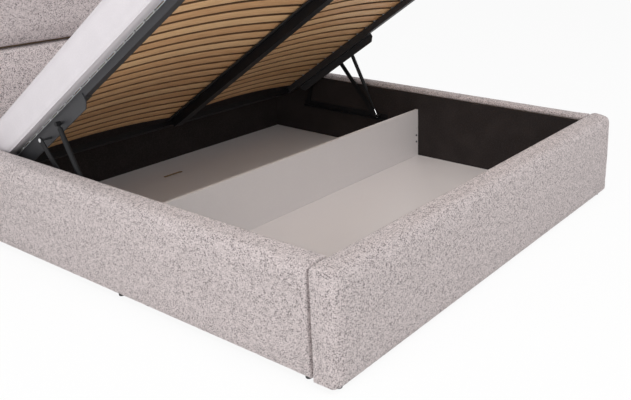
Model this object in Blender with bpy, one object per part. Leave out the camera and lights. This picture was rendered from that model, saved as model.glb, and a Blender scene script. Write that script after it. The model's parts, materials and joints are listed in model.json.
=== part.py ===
"""Upholstered storage bed whose slatted base lifts on two gas springs, built from its separate pieces.

Metres, +Z up. The footboard faces -Y, the headboard stands at +Y, and the left side is -X. The origin lies
on the floor under the middle of the bed. The slatted base and mattress are drawn lying flat, as when the
bed is shut, and hang from an empty that raises them to the open position about the front links' top pivots.
"""

import math

import bmesh
import bpy
from mathutils import Vector

# Gaps and drawing values
GAP = 0.0003  # between pieces that touch
RUN = 0.0003  # round a pin in its hole
OVERRUN = 0.002  # how far a cutter runs past the face that it cuts
ROOT_DEPTH = 0.001  # how deep a pin or bolt head is rooted in its plate
END_STEPS = 4  # facets in the round end of a pad
CROWN_STEPS = 6  # facets across a crowned face
PAD_SMOOTH = math.radians(50)  # sharper edges than this show on a pad
ROUND_SMOOTH = math.radians(40)  # and on a turned or round-ended piece

# Overall bed
OVERALL_WIDTH = 2.000
BOX_LENGTH = 1.993  # inside, footboard lining to head lining
RAIL_HEIGHT = 0.372  # bottom of the upholstery to the top of the rails
GLIDE_HEIGHT = 0.018
GLIDE_RADIUS = 0.0125
GLIDE_SOLE_RADIUS = 0.0105

# Walls of the box, from outside to inside: padded cover, board, charcoal lining
RAIL_PAD = 0.066
FOOT_PAD = 0.073
BOARD = 0.019
LINING = 0.0094
ROLL = 0.026  # how far the cover comes down inside, over board and lining
COVER_TOP_RADIUS = 0.030
COVER_LIP_RADIUS = 0.011
COVER_FOOT_RADIUS = 0.010
COVER_END_RADIUS = 0.018
COVER_BULGE = 0.004

# Headboard
HEADBOARD_HEIGHT = 1.100
HEADBOARD_SEAM = 0.737  # height of the seam between the two cushions
HEADBOARD_PAD = 0.062
HEADBOARD_BOARD = 0.022
HEADBOARD_BACK = 0.006
HEADBOARD_CROWN = 0.008
HEADBOARD_ROUND = 0.024
HEADBOARD_INSET = 0.014  # how far the board stays inside the cushions' outline

# Box floor and divider
BEARER_WIDTH = 0.040
BEARER_UNDER_BOARD = 0.016  # how far a bearer runs under the rail's board
BEARER_BAYS = 2  # bays between bearers on each side of the floor panels' seam
FLOOR_PANEL = 0.008
FLOOR_SIDE_PLAY = 0.0015
FINGER_SLOT_LENGTH = 0.112
FINGER_SLOT_WIDTH = 0.024
FINGER_SLOT_X = -0.060
FINGER_SLOT_FROM_HEAD = 0.213
DIVIDER = 0.016
DIVIDER_HEIGHT = 0.254
DIVIDER_TO_RAIL_BAR = 0.188  # divider's rear face to the lift's rail bars
DIVIDER_HOLE_RADIUS = 0.004
DIVIDER_HOLE_DEPTH = 0.010
DIVIDER_HOLE_FROM_END = 0.016
DIVIDER_HOLE_HEIGHTS = (0.118, 0.150)
ANGLE_LEG = 0.030
ANGLE_STEEL = 0.002
ANGLE_HEIGHT = 0.120

# Slatted base, drawn shut
BASE_HEIGHT = 0.333  # floor to the top of the side tubes when shut
BASE_END_PLAY = 0.010  # between the tubes and the lining at each end when shut
TUBE_WIDTH = 0.030
TUBE_HEIGHT = 0.030
TUBE_WALL = 0.0015
BEAM_WIDTH = 0.050
BEAM_HEIGHT = 0.0385
HOLDER_HEIGHT = 0.0062
HOLDER_WIDTH = 0.090
SLATS = 27
SLAT_WIDTH = 0.053
SLAT_THICKNESS = 0.008
SLAT_PITCH = 0.0703
SLAT_BOW = 0.022
SLAT_SEGMENTS = 6
SLAT_TIE_INSET = 0.006  # strip that ties the slats' outer ends
SLAT_TIE_WIDTH = 0.018
SLAT_TIE_THICKNESS = 0.004
SLAT_CENTRE_GAP = 0.008  # between the two rows, over the beam

# Mattress
MATTRESS_SIDE_PLAY = 0.010  # to the side linings
MATTRESS_END_PLAY = 0.016  # to the head lining when shut
MATTRESS_FOOT_PLAY = 0.008
MATTRESS_THICKNESS = 0.150
MATTRESS_CROWN = 0.012
MATTRESS_EDGE_RADIUS = 0.035
MATTRESS_FOOT_RADIUS = 0.015
MATTRESS_SIDE_DRAW = 0.004
MATTRESS_OVERHANG_DROP = 0.005

# Lift linkage: pivots in the side view, as (distance from the headboard end of the box, height), bed shut
LIFT_ANGLE = math.radians(34.0)
REAR_GROUND_PIVOT = (0.271, 0.204)
FRONT_GROUND_PIVOT = (0.772, 0.204)
STRUT_GROUND_PIVOT = (0.803, 0.214)
REAR_BASE_PIVOT = (0.162, 0.302)
FRONT_BASE_PIVOT = (0.421, 0.280)
STRUT_BASE_PIVOT = (0.542, 0.290)

# Lift linkage: plates, from the lining inwards
RAIL_BAR_STEEL = 0.004
RAIL_BAR_HEIGHT = 0.034
RAIL_BAR_SHELF = 0.022
RAIL_BAR_FRONT_RUN = 0.046  # past the strut's pivot
RAIL_BAR_REAR_RUN = 0.030  # past the rear link's pivot
RAIL_BAR_SCREWS = (0.20, 0.58, 0.83)  # shares of the bar's length
SCREW_HEAD_RADIUS = 0.006
SCREW_HEAD_HEIGHT = 0.0025
LINK_FROM_LINING = 0.009
LINK_STEEL = 0.005
LINK_WIDTH = 0.025
LINK_TO_STRUT = 0.011  # links to the gas spring's cylinder
STRUT_TO_BRACKET = 0.0107
BRACKET_STEEL = 0.004
BRACKET_DROP = 0.040  # below the tube
BRACKET_RISE = 0.016  # up beside the tube
BRACKET_SHELF = 0.030
BRACKET_FRONT_RUN = 0.200  # past the strut's top pivot
BRACKET_REAR_RUN = 0.060  # past the rear link's top pivot
BRACKET_CORNER = 0.022
PIN_RADIUS = 0.0045
PIN_HEAD_RADIUS = 0.008
PIN_HEAD_HEIGHT = 0.0022

# Gas springs
CYLINDER_RADIUS = 0.010
CYLINDER_LENGTH = 0.225  # top pivot to the lower end
CYLINDER_SHOULDER = 0.018
CYLINDER_FLOOR = 0.012
ROD_RADIUS = 0.004
ROD_INSIDE = 0.035  # rod left inside the cylinder when the bed is open
EYE_RADIUS = 0.0095
EYE_THICKNESS = 0.008
NECK_RADIUS = 0.0055

# Worked out from the sizes above
RAIL_THICKNESS = RAIL_PAD + GAP + BOARD + GAP + LINING
FOOT_THICKNESS = FOOT_PAD + GAP + BOARD + GAP + LINING
HALF_WIDTH = OVERALL_WIDTH / 2
INNER_X = HALF_WIDTH - RAIL_THICKNESS
HEADBOARD_THICKNESS = HEADBOARD_PAD + GAP + HEADBOARD_BOARD + GAP + HEADBOARD_BACK
BOX_TO_HEADBOARD = LINING + 2 * GAP
OVERALL_LENGTH = FOOT_THICKNESS + BOX_LENGTH + BOX_TO_HEADBOARD + HEADBOARD_THICKNESS
FOOT_FACE_Y = -OVERALL_LENGTH / 2
BOX_FOOT_Y = FOOT_FACE_Y + FOOT_THICKNESS
BOX_HEAD_Y = BOX_FOOT_Y + BOX_LENGTH
HEADBOARD_FRONT_Y = BOX_HEAD_Y + BOX_TO_HEADBOARD
COVER_BOTTOM = GLIDE_HEIGHT
RAIL_TOP = COVER_BOTTOM + RAIL_HEIGHT
FLOOR_TOP = GLIDE_HEIGHT + FLOOR_PANEL
BASE_FOOT_Y = BOX_FOOT_Y + BASE_END_PLAY
BASE_HEAD_Y = BOX_HEAD_Y - BASE_END_PLAY
SLAT_BOTTOM = BASE_HEIGHT + GAP
SIDES = {"left": -1, "right": 1}


def side_point(pivot):
    """A pivot's place in the side view, as (y, z)."""
    return Vector((BOX_HEAD_Y - pivot[0], pivot[1]))


def circle_crossing(centre_a, radius_a, centre_b, radius_b):
    """The higher point where two circles in the side view cross."""
    span = centre_b - centre_a
    distance = span.length
    along = (radius_a**2 - radius_b**2 + distance**2) / (2 * distance)
    across = math.sqrt(radius_a**2 - along**2)
    unit = span / distance
    points = [centre_a + unit * along + Vector((-unit.y, unit.x)) * turn for turn in (across, -across)]
    return max(points, key=lambda point: point.y)


def raised(vector, angle):
    """A side-view vector of the base, turned so that its foot end rises by the angle."""
    c, s = math.cos(angle), math.sin(angle)
    return Vector((vector.x * c + vector.y * s, vector.y * c - vector.x * s))


def direction(start, end):
    """The side-view angle from one point to another, from +Y towards +Z."""
    return math.atan2(end.y - start.y, end.x - start.x)


# The four-bar linkage, solved shut and open
REAR_GROUND = side_point(REAR_GROUND_PIVOT)
FRONT_GROUND = side_point(FRONT_GROUND_PIVOT)
STRUT_GROUND = side_point(STRUT_GROUND_PIVOT)
REAR_SHUT = side_point(REAR_BASE_PIVOT)
FRONT_SHUT = side_point(FRONT_BASE_PIVOT)
STRUT_SHUT = side_point(STRUT_BASE_PIVOT)
REAR_LINK_LENGTH = (REAR_SHUT - REAR_GROUND).length
FRONT_LINK_LENGTH = (FRONT_SHUT - FRONT_GROUND).length
REAR_TO_FRONT = raised(FRONT_SHUT - REAR_SHUT, LIFT_ANGLE)
REAR_OPEN = circle_crossing(REAR_GROUND, REAR_LINK_LENGTH, FRONT_GROUND - REAR_TO_FRONT, FRONT_LINK_LENGTH)
FRONT_OPEN = REAR_OPEN + REAR_TO_FRONT
STRUT_OPEN = REAR_OPEN + raised(STRUT_SHUT - REAR_SHUT, LIFT_ANGLE)
ROD_LENGTH = (STRUT_OPEN - STRUT_GROUND).length - CYLINDER_LENGTH + ROD_INSIDE

# The divider stands in front of the lift's rail bars, over the floor panels' seam
RAIL_BAR_START = STRUT_GROUND.x - RAIL_BAR_FRONT_RUN
RAIL_BAR_END = REAR_GROUND.x + RAIL_BAR_REAR_RUN
DIVIDER_Y = RAIL_BAR_START - DIVIDER_TO_RAIL_BAR - DIVIDER
FLOOR_SEAM_Y = DIVIDER_Y + DIVIDER / 2

# Places across the bed, from the lining's face inwards: rail bar, links, gas spring, bracket, slatted base
RAIL_BAR_X = INNER_X - GAP - RAIL_BAR_STEEL
LINK_OUTER_X = INNER_X - LINK_FROM_LINING
LINK_INNER_X = LINK_OUTER_X - LINK_STEEL
STRUT_X = LINK_INNER_X - LINK_TO_STRUT - CYLINDER_RADIUS
BRACKET_OUTER_X = STRUT_X - CYLINDER_RADIUS - STRUT_TO_BRACKET
BRACKET_INNER_X = BRACKET_OUTER_X - BRACKET_STEEL
BASE_HALF_WIDTH = BRACKET_INNER_X - GAP
MATTRESS_HALF_WIDTH = INNER_X - MATTRESS_SIDE_PLAY


def make_material(name, colour, roughness, metallic=0.0):
    material = bpy.data.materials.new(name)
    material.use_nodes = True
    shader = material.node_tree.nodes["Principled BSDF"]
    shader.inputs["Base Color"].default_value = (*colour, 1.0)
    shader.inputs["Roughness"].default_value = roughness
    shader.inputs["Metallic"].default_value = metallic
    material.diffuse_color = (*colour, 1.0)
    return material


def make_materials():
    return {
        "boucle": make_material("boucle", (0.52, 0.46, 0.44), 0.95),
        "lining": make_material("lining", (0.022, 0.019, 0.018), 0.95),
        "particle_board": make_material("particle_board", (0.42, 0.30, 0.19), 0.85),
        "white_board": make_material("white_board", (0.62, 0.60, 0.59), 0.45),
        "spruce": make_material("spruce", (0.60, 0.43, 0.25), 0.70),
        "birch": make_material("birch", (0.55, 0.33, 0.16), 0.50),
        "anthracite_steel": make_material("anthracite_steel", (0.045, 0.046, 0.052), 0.45, 0.3),
        "black_steel": make_material("black_steel", (0.010, 0.010, 0.011), 0.40, 0.3),
        "bright_steel": make_material("bright_steel", (0.60, 0.60, 0.61), 0.20, 1.0),
        "black_plastic": make_material("black_plastic", (0.015, 0.015, 0.016), 0.55),
        "mattress_cloth": make_material("mattress_cloth", (0.72, 0.69, 0.69), 0.90),
        "backing_cloth": make_material("backing_cloth", (0.030, 0.028, 0.028), 0.90),
    }


def empty_scene():
    for thing in list(bpy.data.objects):
        bpy.data.objects.remove(thing, do_unlink=True)


def add_object(name, bm, material, location=(0, 0, 0), turn_x=0.0, smooth_angle=None):
    """Turns a bmesh into a named object, with its faces pointing out."""
    bmesh.ops.recalc_face_normals(bm, faces=bm.faces)
    mesh = bpy.data.meshes.new(name)
    bm.to_mesh(mesh)
    bm.free()
    if smooth_angle is not None:
        mesh.shade_smooth()
        mesh.set_sharp_from_angle(angle=smooth_angle)
    if material is not None:
        mesh.materials.append(material)
    thing = bpy.data.objects.new(name, mesh)
    thing.location = location
    thing.rotation_euler.x = turn_x
    bpy.context.scene.collection.objects.link(thing)
    return thing


def add_block(name, low, high, material):
    """A box between two corners, with its origin in its middle."""
    low, high = Vector(low), Vector(high)
    bm = bmesh.new()
    bmesh.ops.create_cube(bm, size=1.0)
    bmesh.ops.scale(bm, vec=high - low, verts=bm.verts)
    return add_object(name, bm, material, (low + high) / 2)


def add_prism(name, outline, low_x, high_x, material, location=(0, 0, 0), turn_x=0.0):
    """An outline in the side view, as (y, z) points, extruded across the bed."""
    bm = bmesh.new()
    face = bm.faces.new([bm.verts.new((low_x, y, z)) for y, z in outline])
    grown = bmesh.ops.extrude_face_region(bm, geom=[face])
    verts = [item for item in grown["geom"] if isinstance(item, bmesh.types.BMVert)]
    bmesh.ops.translate(bm, vec=(high_x - low_x, 0, 0), verts=verts)
    return add_object(name, bm, material, location, turn_x, smooth_angle=ROUND_SMOOTH)


def loft(rings):
    """A bmesh through rings of points that have the same count, closed at both ends."""
    bm = bmesh.new()
    loops = []
    for ring in rings:
        verts = [bm.verts.new(point) for point in ring]
        edges = [bm.edges.new((verts[i], verts[(i + 1) % len(verts)])) for i in range(len(verts))]
        loops.append((verts, edges))
    for (_, edges), (_, next_edges) in zip(loops, loops[1:]):
        bmesh.ops.bridge_loops(bm, edges=edges + next_edges)
    for verts, _ in (loops[0], loops[-1]):
        bm.faces.new(verts)
    return bm


def tool(thing, name):
    """Marks an object as a cutter or a boss, which the model leaves out."""
    thing.name = name
    thing.hide_render = True
    thing.display_type = "WIRE"
    return thing


def combine(body, other, operation):
    """Cuts or joins another shape with a Boolean; the other shape rides on the body."""
    other.parent = body
    modifier = body.modifiers.new(operation.lower(), "BOOLEAN")
    modifier.operation = operation
    modifier.object = other
    return body


def round_bar(name, radius, low_x, high_x, place=(0, 0), segments=20):
    """A round bar across the bed at a side-view place, for pins, heads and holes."""
    bm = bmesh.new()
    bmesh.ops.create_cone(
        bm, cap_ends=True, segments=segments, radius1=radius, radius2=radius, depth=high_x - low_x
    )
    thing = add_object(name, bm, None)
    thing.rotation_euler = (0, math.pi / 2, 0)
    thing.location = ((low_x + high_x) / 2, place[0], place[1])
    return tool(thing, name)


def add_pin(body, name, place, root_x, tip_x, head=True):
    """Joins a pin to a plate, from its root to its tip, with a head beyond the tip."""
    step = math.copysign(1, tip_x - root_x)
    start, end = root_x - step * ROOT_DEPTH, tip_x
    if head:
        end = tip_x + step * (GAP + PIN_HEAD_HEIGHT)
        near = tip_x + step * GAP
        combine(
            body,
            round_bar(name + "_head", PIN_HEAD_RADIUS, min(near, end), max(near, end), place),
            "UNION",
        )
    combine(body, round_bar(name, PIN_RADIUS, min(start, end), max(start, end), place), "UNION")


def arc(centre, radius, start, end, steps):
    """Points on an arc in a plane, with the angles in quarter turns."""
    angles = [(start + (end - start) * i / steps) * math.pi / 2 for i in range(steps + 1)]
    return [(centre[0] + radius * math.cos(a), centre[1] + radius * math.sin(a)) for a in angles]


def cover_profile(thickness, squeeze):
    """A cover's section as (distance in from the outer face, height).

    The squeeze draws the outer face and the top in, for a rounded end.
    """
    top = RAIL_HEIGHT - squeeze
    outer = squeeze
    corner = COVER_TOP_RADIUS
    lip = COVER_LIP_RADIUS
    foot = COVER_FOOT_RADIUS
    points = [(thickness, 0.0)]
    points += arc((outer + foot, foot), foot, -1, -2, 3)
    points.append((outer - COVER_BULGE, (foot + top - corner) / 2))
    points += arc((outer + corner, top - corner), corner, 2, 1, 5)
    points.append(((outer + thickness) / 2, top + COVER_BULGE / 2))
    points += arc((thickness - lip, top - lip), lip, 1, 0, 3)
    return points


def cut_pocket(cover, name, low, high):
    """Opens a cover inside and below for its board and lining, which leaves the roll at the top."""
    combine(cover, tool(add_block(name, low, high, None), name), "DIFFERENCE")


def pad_stations(length, radius, between=0):
    """Places along a pad with the squeeze there: the ends are quarter rounds, the rest runs straight."""
    ends = []
    for i in range(END_STEPS + 1):
        turn = i / END_STEPS * math.pi / 2
        ends.append((radius * (1 - math.cos(turn)), radius * (1 - math.sin(turn))))
    straight = length - 2 * radius
    middle = [(radius + straight * (i + 1) / (between + 1), 0.0) for i in range(between)]
    return ends + middle + [(length - place, squeeze) for place, squeeze in reversed(ends)]


def swell(share):
    """How full a crowned pad is at a share from -1 to 1 across it: flat inside, falling at the edges."""
    return 1 - abs(share) ** 4


def add_rail_cover(side, sign, material):
    start = BOX_FOOT_Y + GAP
    length = HEADBOARD_FRONT_Y - GAP - start
    rings = [
        [
            (sign * (HALF_WIDTH - COVER_BULGE - depth), start + place, COVER_BOTTOM + height)
            for depth, height in cover_profile(RAIL_THICKNESS - COVER_BULGE, squeeze)
        ]
        for place, squeeze in pad_stations(length, COVER_END_RADIUS)
    ]
    cover = add_object(f"side_rail_cover_{side}", loft(rings), material, smooth_angle=PAD_SMOOTH)
    xs = sorted((sign * (HALF_WIDTH - RAIL_PAD), sign * (INNER_X - OVERRUN)))
    cut_pocket(
        cover,
        f"side_rail_pocket_{side}",
        (xs[0], start - OVERRUN, COVER_BOTTOM - OVERRUN),
        (xs[1], start + length + OVERRUN, RAIL_TOP - ROLL),
    )


def add_foot_cover(material):
    rings = [
        [
            (place - HALF_WIDTH, FOOT_FACE_Y + COVER_BULGE + depth, COVER_BOTTOM + height)
            for depth, height in cover_profile(FOOT_THICKNESS - COVER_BULGE, squeeze)
        ]
        for place, squeeze in pad_stations(OVERALL_WIDTH, COVER_END_RADIUS)
    ]
    cover = add_object("footboard_cover", loft(rings), material, smooth_angle=PAD_SMOOTH)
    half = HALF_WIDTH - RAIL_PAD
    cut_pocket(
        cover,
        "footboard_pocket",
        (-half, FOOT_FACE_Y + FOOT_PAD, COVER_BOTTOM - OVERRUN),
        (half, BOX_FOOT_Y + OVERRUN, RAIL_TOP - ROLL),
    )


def add_side_walls(side, sign, materials):
    """One side rail: padded cover, board and charcoal lining."""
    add_rail_cover(side, sign, materials["boucle"])
    board_outer = HALF_WIDTH - RAIL_PAD - GAP
    for name, outer, inner, material in (
        ("side_rail_board", board_outer, board_outer - BOARD, "particle_board"),
        ("side_lining", INNER_X + LINING, INNER_X, "lining"),
    ):
        xs = sorted((sign * outer, sign * inner))
        low = (xs[0], BOX_FOOT_Y + GAP, COVER_BOTTOM)
        high = (xs[1], HEADBOARD_FRONT_Y - GAP, RAIL_TOP - ROLL - GAP)
        add_block(f"{name}_{side}", low, high, materials[material])


def add_foot_walls(materials):
    """The footboard: padded cover, board and charcoal lining."""
    add_foot_cover(materials["boucle"])
    wall_top = RAIL_TOP - ROLL - GAP
    board_start = FOOT_FACE_Y + FOOT_PAD + GAP
    lining_start = BOX_FOOT_Y - LINING
    board_half = HALF_WIDTH - RAIL_PAD - GAP
    add_block(
        "footboard_board",
        (-board_half, board_start, COVER_BOTTOM),
        (board_half, board_start + BOARD, wall_top),
        materials["particle_board"],
    )
    add_block(
        "foot_lining",
        (-board_half, lining_start, COVER_BOTTOM),
        (board_half, BOX_FOOT_Y, wall_top),
        materials["lining"],
    )
    add_block(
        "head_lining",
        (-INNER_X + GAP, BOX_HEAD_Y, COVER_BOTTOM),
        (INNER_X - GAP, BOX_HEAD_Y + LINING, RAIL_TOP - ROLL),
        materials["lining"],
    )


def cushion_profile(bottom, top, squeeze, fullness):
    """A headboard cushion's section as (distance from its back, height): flat back, crowned front."""
    front = HEADBOARD_PAD - squeeze
    low, high = bottom, top - squeeze
    radius = HEADBOARD_ROUND
    points = [(0.0, low)]
    points += arc((front - radius, low + radius), radius, -1, 0, 4)
    for i in range(1, CROWN_STEPS):
        height = low + radius + (high - low - 2 * radius) * i / CROWN_STEPS
        clear = min(1.0, max(0.0, (height - RAIL_TOP) / COVER_TOP_RADIUS))
        share = 2 * (height - low) / (high - low) - 1
        points.append((front + HEADBOARD_CROWN * fullness * clear * swell(share), height))
    points += arc((front - radius, high - radius), radius, 0, 1, 4)
    points.append((0.0, high))
    return points


def add_headboard(materials):
    """The headboard: two padded cushions on a board, with a cloth-covered back."""
    back = HEADBOARD_FRONT_Y + HEADBOARD_PAD
    spans = {
        "headboard_cushion_lower": (COVER_BOTTOM, HEADBOARD_SEAM - GAP / 2),
        "headboard_cushion_upper": (HEADBOARD_SEAM + GAP / 2, HEADBOARD_HEIGHT),
    }
    for name, (bottom, top) in spans.items():
        rings = []
        for place, squeeze in pad_stations(OVERALL_WIDTH, HEADBOARD_ROUND, CROWN_STEPS):
            fullness = swell(2 * place / OVERALL_WIDTH - 1)
            profile = cushion_profile(bottom, top, squeeze, fullness)
            rings.append([(place - HALF_WIDTH, back - depth, height) for depth, height in profile])
        add_object(name, loft(rings), materials["boucle"], smooth_angle=PAD_SMOOTH)
    edge = HALF_WIDTH - HEADBOARD_INSET
    top = HEADBOARD_HEIGHT - HEADBOARD_INSET
    board_back = back + GAP + HEADBOARD_BOARD
    for name, low_y, high_y, material in (
        ("headboard_board", back + GAP, board_back, "particle_board"),
        ("headboard_back", board_back + GAP, board_back + GAP + HEADBOARD_BACK, "backing_cloth"),
    ):
        add_block(name, (-edge, low_y, COVER_BOTTOM), (edge, high_y, top), materials[material])


def bearer_places():
    """Front edges of the bearers: one at each end, one under the panels' seam, the rest evenly between."""
    fixed = (BOX_FOOT_Y + GAP, FLOOR_SEAM_Y - BEARER_WIDTH / 2, BOX_HEAD_Y - GAP - BEARER_WIDTH)
    places = [fixed[0]]
    for start, end in zip(fixed, fixed[1:]):
        places += [start + (end - start) * (i + 1) / BEARER_BAYS for i in range(BEARER_BAYS)]
    return places


def add_box_floor(materials):
    """Bearers across the bed, two floor panels on them, and the divider with its two angles."""
    half = HALF_WIDTH - RAIL_PAD - GAP - BOARD + BEARER_UNDER_BOARD
    for i, y in enumerate(bearer_places()):
        add_block(
            f"floor_bearer_{i + 1}",
            (-half, y, 0),
            (half, y + BEARER_WIDTH, GLIDE_HEIGHT - GAP),
            materials["spruce"],
        )
    edge = INNER_X - FLOOR_SIDE_PLAY
    spans = {
        "floor_panel_foot": (BOX_FOOT_Y + FLOOR_SIDE_PLAY, FLOOR_SEAM_Y - GAP / 2),
        "floor_panel_head": (FLOOR_SEAM_Y + GAP / 2, BOX_HEAD_Y - FLOOR_SIDE_PLAY),
    }
    panels = {
        name: add_block(name, (-edge, low, GLIDE_HEIGHT), (edge, high, FLOOR_TOP), materials["white_board"])
        for name, (low, high) in spans.items()
    }
    cut_finger_slot(panels["floor_panel_head"])
    add_divider(materials)


def cut_finger_slot(panel):
    """The round-ended slot that lifts the floor panel out."""
    bm = bmesh.new()
    end = FINGER_SLOT_LENGTH / 2 - FINGER_SLOT_WIDTH / 2
    radius = FINGER_SLOT_WIDTH / 2
    outline = arc((end, 0), radius, -1, 1, 8) + arc((-end, 0), radius, 1, 3, 8)
    face = bm.faces.new([bm.verts.new((x, y, -FLOOR_PANEL)) for x, y in outline])
    grown = bmesh.ops.extrude_face_region(bm, geom=[face])
    verts = [item for item in grown["geom"] if isinstance(item, bmesh.types.BMVert)]
    bmesh.ops.translate(bm, vec=(0, 0, 2 * FLOOR_PANEL), verts=verts)
    cutter = tool(add_object("finger_slot", bm, None), "finger_slot")
    cutter.location = (
        FINGER_SLOT_X - panel.location.x,
        BOX_HEAD_Y - FINGER_SLOT_FROM_HEAD - panel.location.y,
        0,
    )
    combine(panel, cutter, "DIFFERENCE")


def add_divider(materials):
    edge = INNER_X - GAP
    bottom = FLOOR_TOP + GAP
    divider = add_block(
        "divider",
        (-edge, DIVIDER_Y, bottom),
        (edge, DIVIDER_Y + DIVIDER, bottom + DIVIDER_HEIGHT),
        materials["white_board"],
    )
    for sign in SIDES.values():
        for height in DIVIDER_HOLE_HEIGHTS:
            bm = bmesh.new()
            bmesh.ops.create_cone(
                bm,
                cap_ends=True,
                segments=12,
                radius1=DIVIDER_HOLE_RADIUS,
                radius2=DIVIDER_HOLE_RADIUS,
                depth=2 * DIVIDER_HOLE_DEPTH,
            )
            hole = tool(add_object("divider_hole", bm, None), "divider_hole")
            hole.rotation_euler.x = math.pi / 2
            hole.location = (
                sign * (edge - DIVIDER_HOLE_FROM_END),
                -DIVIDER / 2,
                height - DIVIDER_HEIGHT / 2,
            )
            combine(divider, hole, "DIFFERENCE")
    back = DIVIDER_Y + DIVIDER + GAP
    for side, sign in SIDES.items():
        outline = [
            (edge, back),
            (edge, back + ANGLE_LEG),
            (edge - ANGLE_STEEL, back + ANGLE_LEG),
            (edge - ANGLE_STEEL, back + ANGLE_STEEL),
            (edge - ANGLE_LEG, back + ANGLE_STEEL),
            (edge - ANGLE_LEG, back),
        ]
        bm = bmesh.new()
        face = bm.faces.new([bm.verts.new((sign * x, y, bottom)) for x, y in outline])
        grown = bmesh.ops.extrude_face_region(bm, geom=[face])
        verts = [item for item in grown["geom"] if isinstance(item, bmesh.types.BMVert)]
        bmesh.ops.translate(bm, vec=(0, 0, ANGLE_HEIGHT), verts=verts)
        add_object(f"divider_angle_{side}", bm, materials["bright_steel"])


def add_glides(materials):
    """Eight plastic glides under the padded walls and the headboard."""
    rail_x = HALF_WIDTH - RAIL_PAD / 2
    foot_y = FOOT_FACE_Y + FOOT_PAD / 2
    head_y = HEADBOARD_FRONT_Y + HEADBOARD_PAD / 2
    rail_places = {"rail_front": BOX_FOOT_Y + BEARER_WIDTH, "rail_middle": DIVIDER_Y}
    places = {f"glide_{name}": (rail_x, y) for name, y in rail_places.items()}
    places["glide_foot"] = (rail_x - GLIDE_RADIUS, foot_y)
    places["glide_head"] = (rail_x, head_y)
    for name, (x, y) in places.items():
        for side, sign in SIDES.items():
            bm = bmesh.new()
            bmesh.ops.create_cone(
                bm,
                cap_ends=True,
                segments=20,
                radius1=GLIDE_SOLE_RADIUS,
                radius2=GLIDE_RADIUS,
                depth=GLIDE_HEIGHT - GAP,
            )
            place = (sign * x, y, (GLIDE_HEIGHT - GAP) / 2)
            add_object(f"{name}_{side}", bm, materials["black_plastic"], place, smooth_angle=ROUND_SMOOTH)


def add_base_pivot():
    """The empty that raises the base: it turns at the front links' top pivots."""
    pivot = bpy.data.objects.new("base_pivot", None)
    pivot.location = (0, FRONT_OPEN.x, FRONT_OPEN.y)
    pivot.rotation_euler.x = -LIFT_ANGLE
    bpy.context.scene.collection.objects.link(pivot)
    return pivot


def seat_on_base(thing, pivot):
    """Hangs a piece that was drawn with the bed shut on the raised base."""
    thing.location -= Vector((0, FRONT_SHUT.x, FRONT_SHUT.y))
    thing.parent = pivot
    return thing


def add_tube(name, low, high, along, material, pivot):
    """A rectangular steel tube, open from end to end along one axis."""
    tube = add_block(name, low, high, material)
    inner_low, inner_high = Vector(low), Vector(high)
    for axis in range(3):
        change = OVERRUN if axis == along else -TUBE_WALL
        inner_low[axis] -= change
        inner_high[axis] += change
    cutter = tool(add_block(name + "_bore", inner_low, inner_high, None), name + "_bore")
    cutter.location = (0, 0, 0)
    combine(tube, cutter, "DIFFERENCE")
    return seat_on_base(tube, pivot)


def add_base_frame(materials, pivot):
    """Two side tubes, two cross tubes, the middle beam and the slat holder on it."""
    top, bottom = BASE_HEIGHT, BASE_HEIGHT - TUBE_HEIGHT
    inner = BASE_HALF_WIDTH - TUBE_WIDTH
    for side, sign in SIDES.items():
        xs = sorted((sign * BASE_HALF_WIDTH, sign * inner))
        low, high = (xs[0], BASE_FOOT_Y, bottom), (xs[1], BASE_HEAD_Y, top)
        add_tube(f"base_side_tube_{side}", low, high, 1, materials["anthracite_steel"], pivot)
    for end, y in (("foot", BASE_FOOT_Y), ("head", BASE_HEAD_Y - TUBE_WIDTH)):
        low, high = (-inner + GAP, y, bottom), (inner - GAP, y + TUBE_WIDTH, top - HOLDER_HEIGHT)
        add_tube(f"base_cross_tube_{end}", low, high, 0, materials["black_steel"], pivot)
    beam_top = top - HOLDER_HEIGHT - GAP
    add_tube(
        "base_middle_beam",
        (-BEAM_WIDTH / 2, BASE_FOOT_Y + TUBE_WIDTH + GAP, beam_top - BEAM_HEIGHT),
        (BEAM_WIDTH / 2, BASE_HEAD_Y - TUBE_WIDTH - GAP, beam_top),
        1,
        materials["black_steel"],
        pivot,
    )
    seat_on_base(
        add_block(
            "slat_holder_middle",
            (-HOLDER_WIDTH / 2, BASE_FOOT_Y, top - HOLDER_HEIGHT + GAP),
            (HOLDER_WIDTH / 2, BASE_HEAD_Y, top),
            materials["black_plastic"],
        ),
        pivot,
    )


def slat_lift(x):
    """How far a slat's sprung bow lifts it at a distance from the bed's middle."""
    inner = SLAT_CENTRE_GAP / 2
    share = (abs(x) - inner) / (BASE_HALF_WIDTH - inner)
    return 4 * SLAT_BOW * share * (1 - share) if 0 < share < 1 else 0.0


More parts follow.
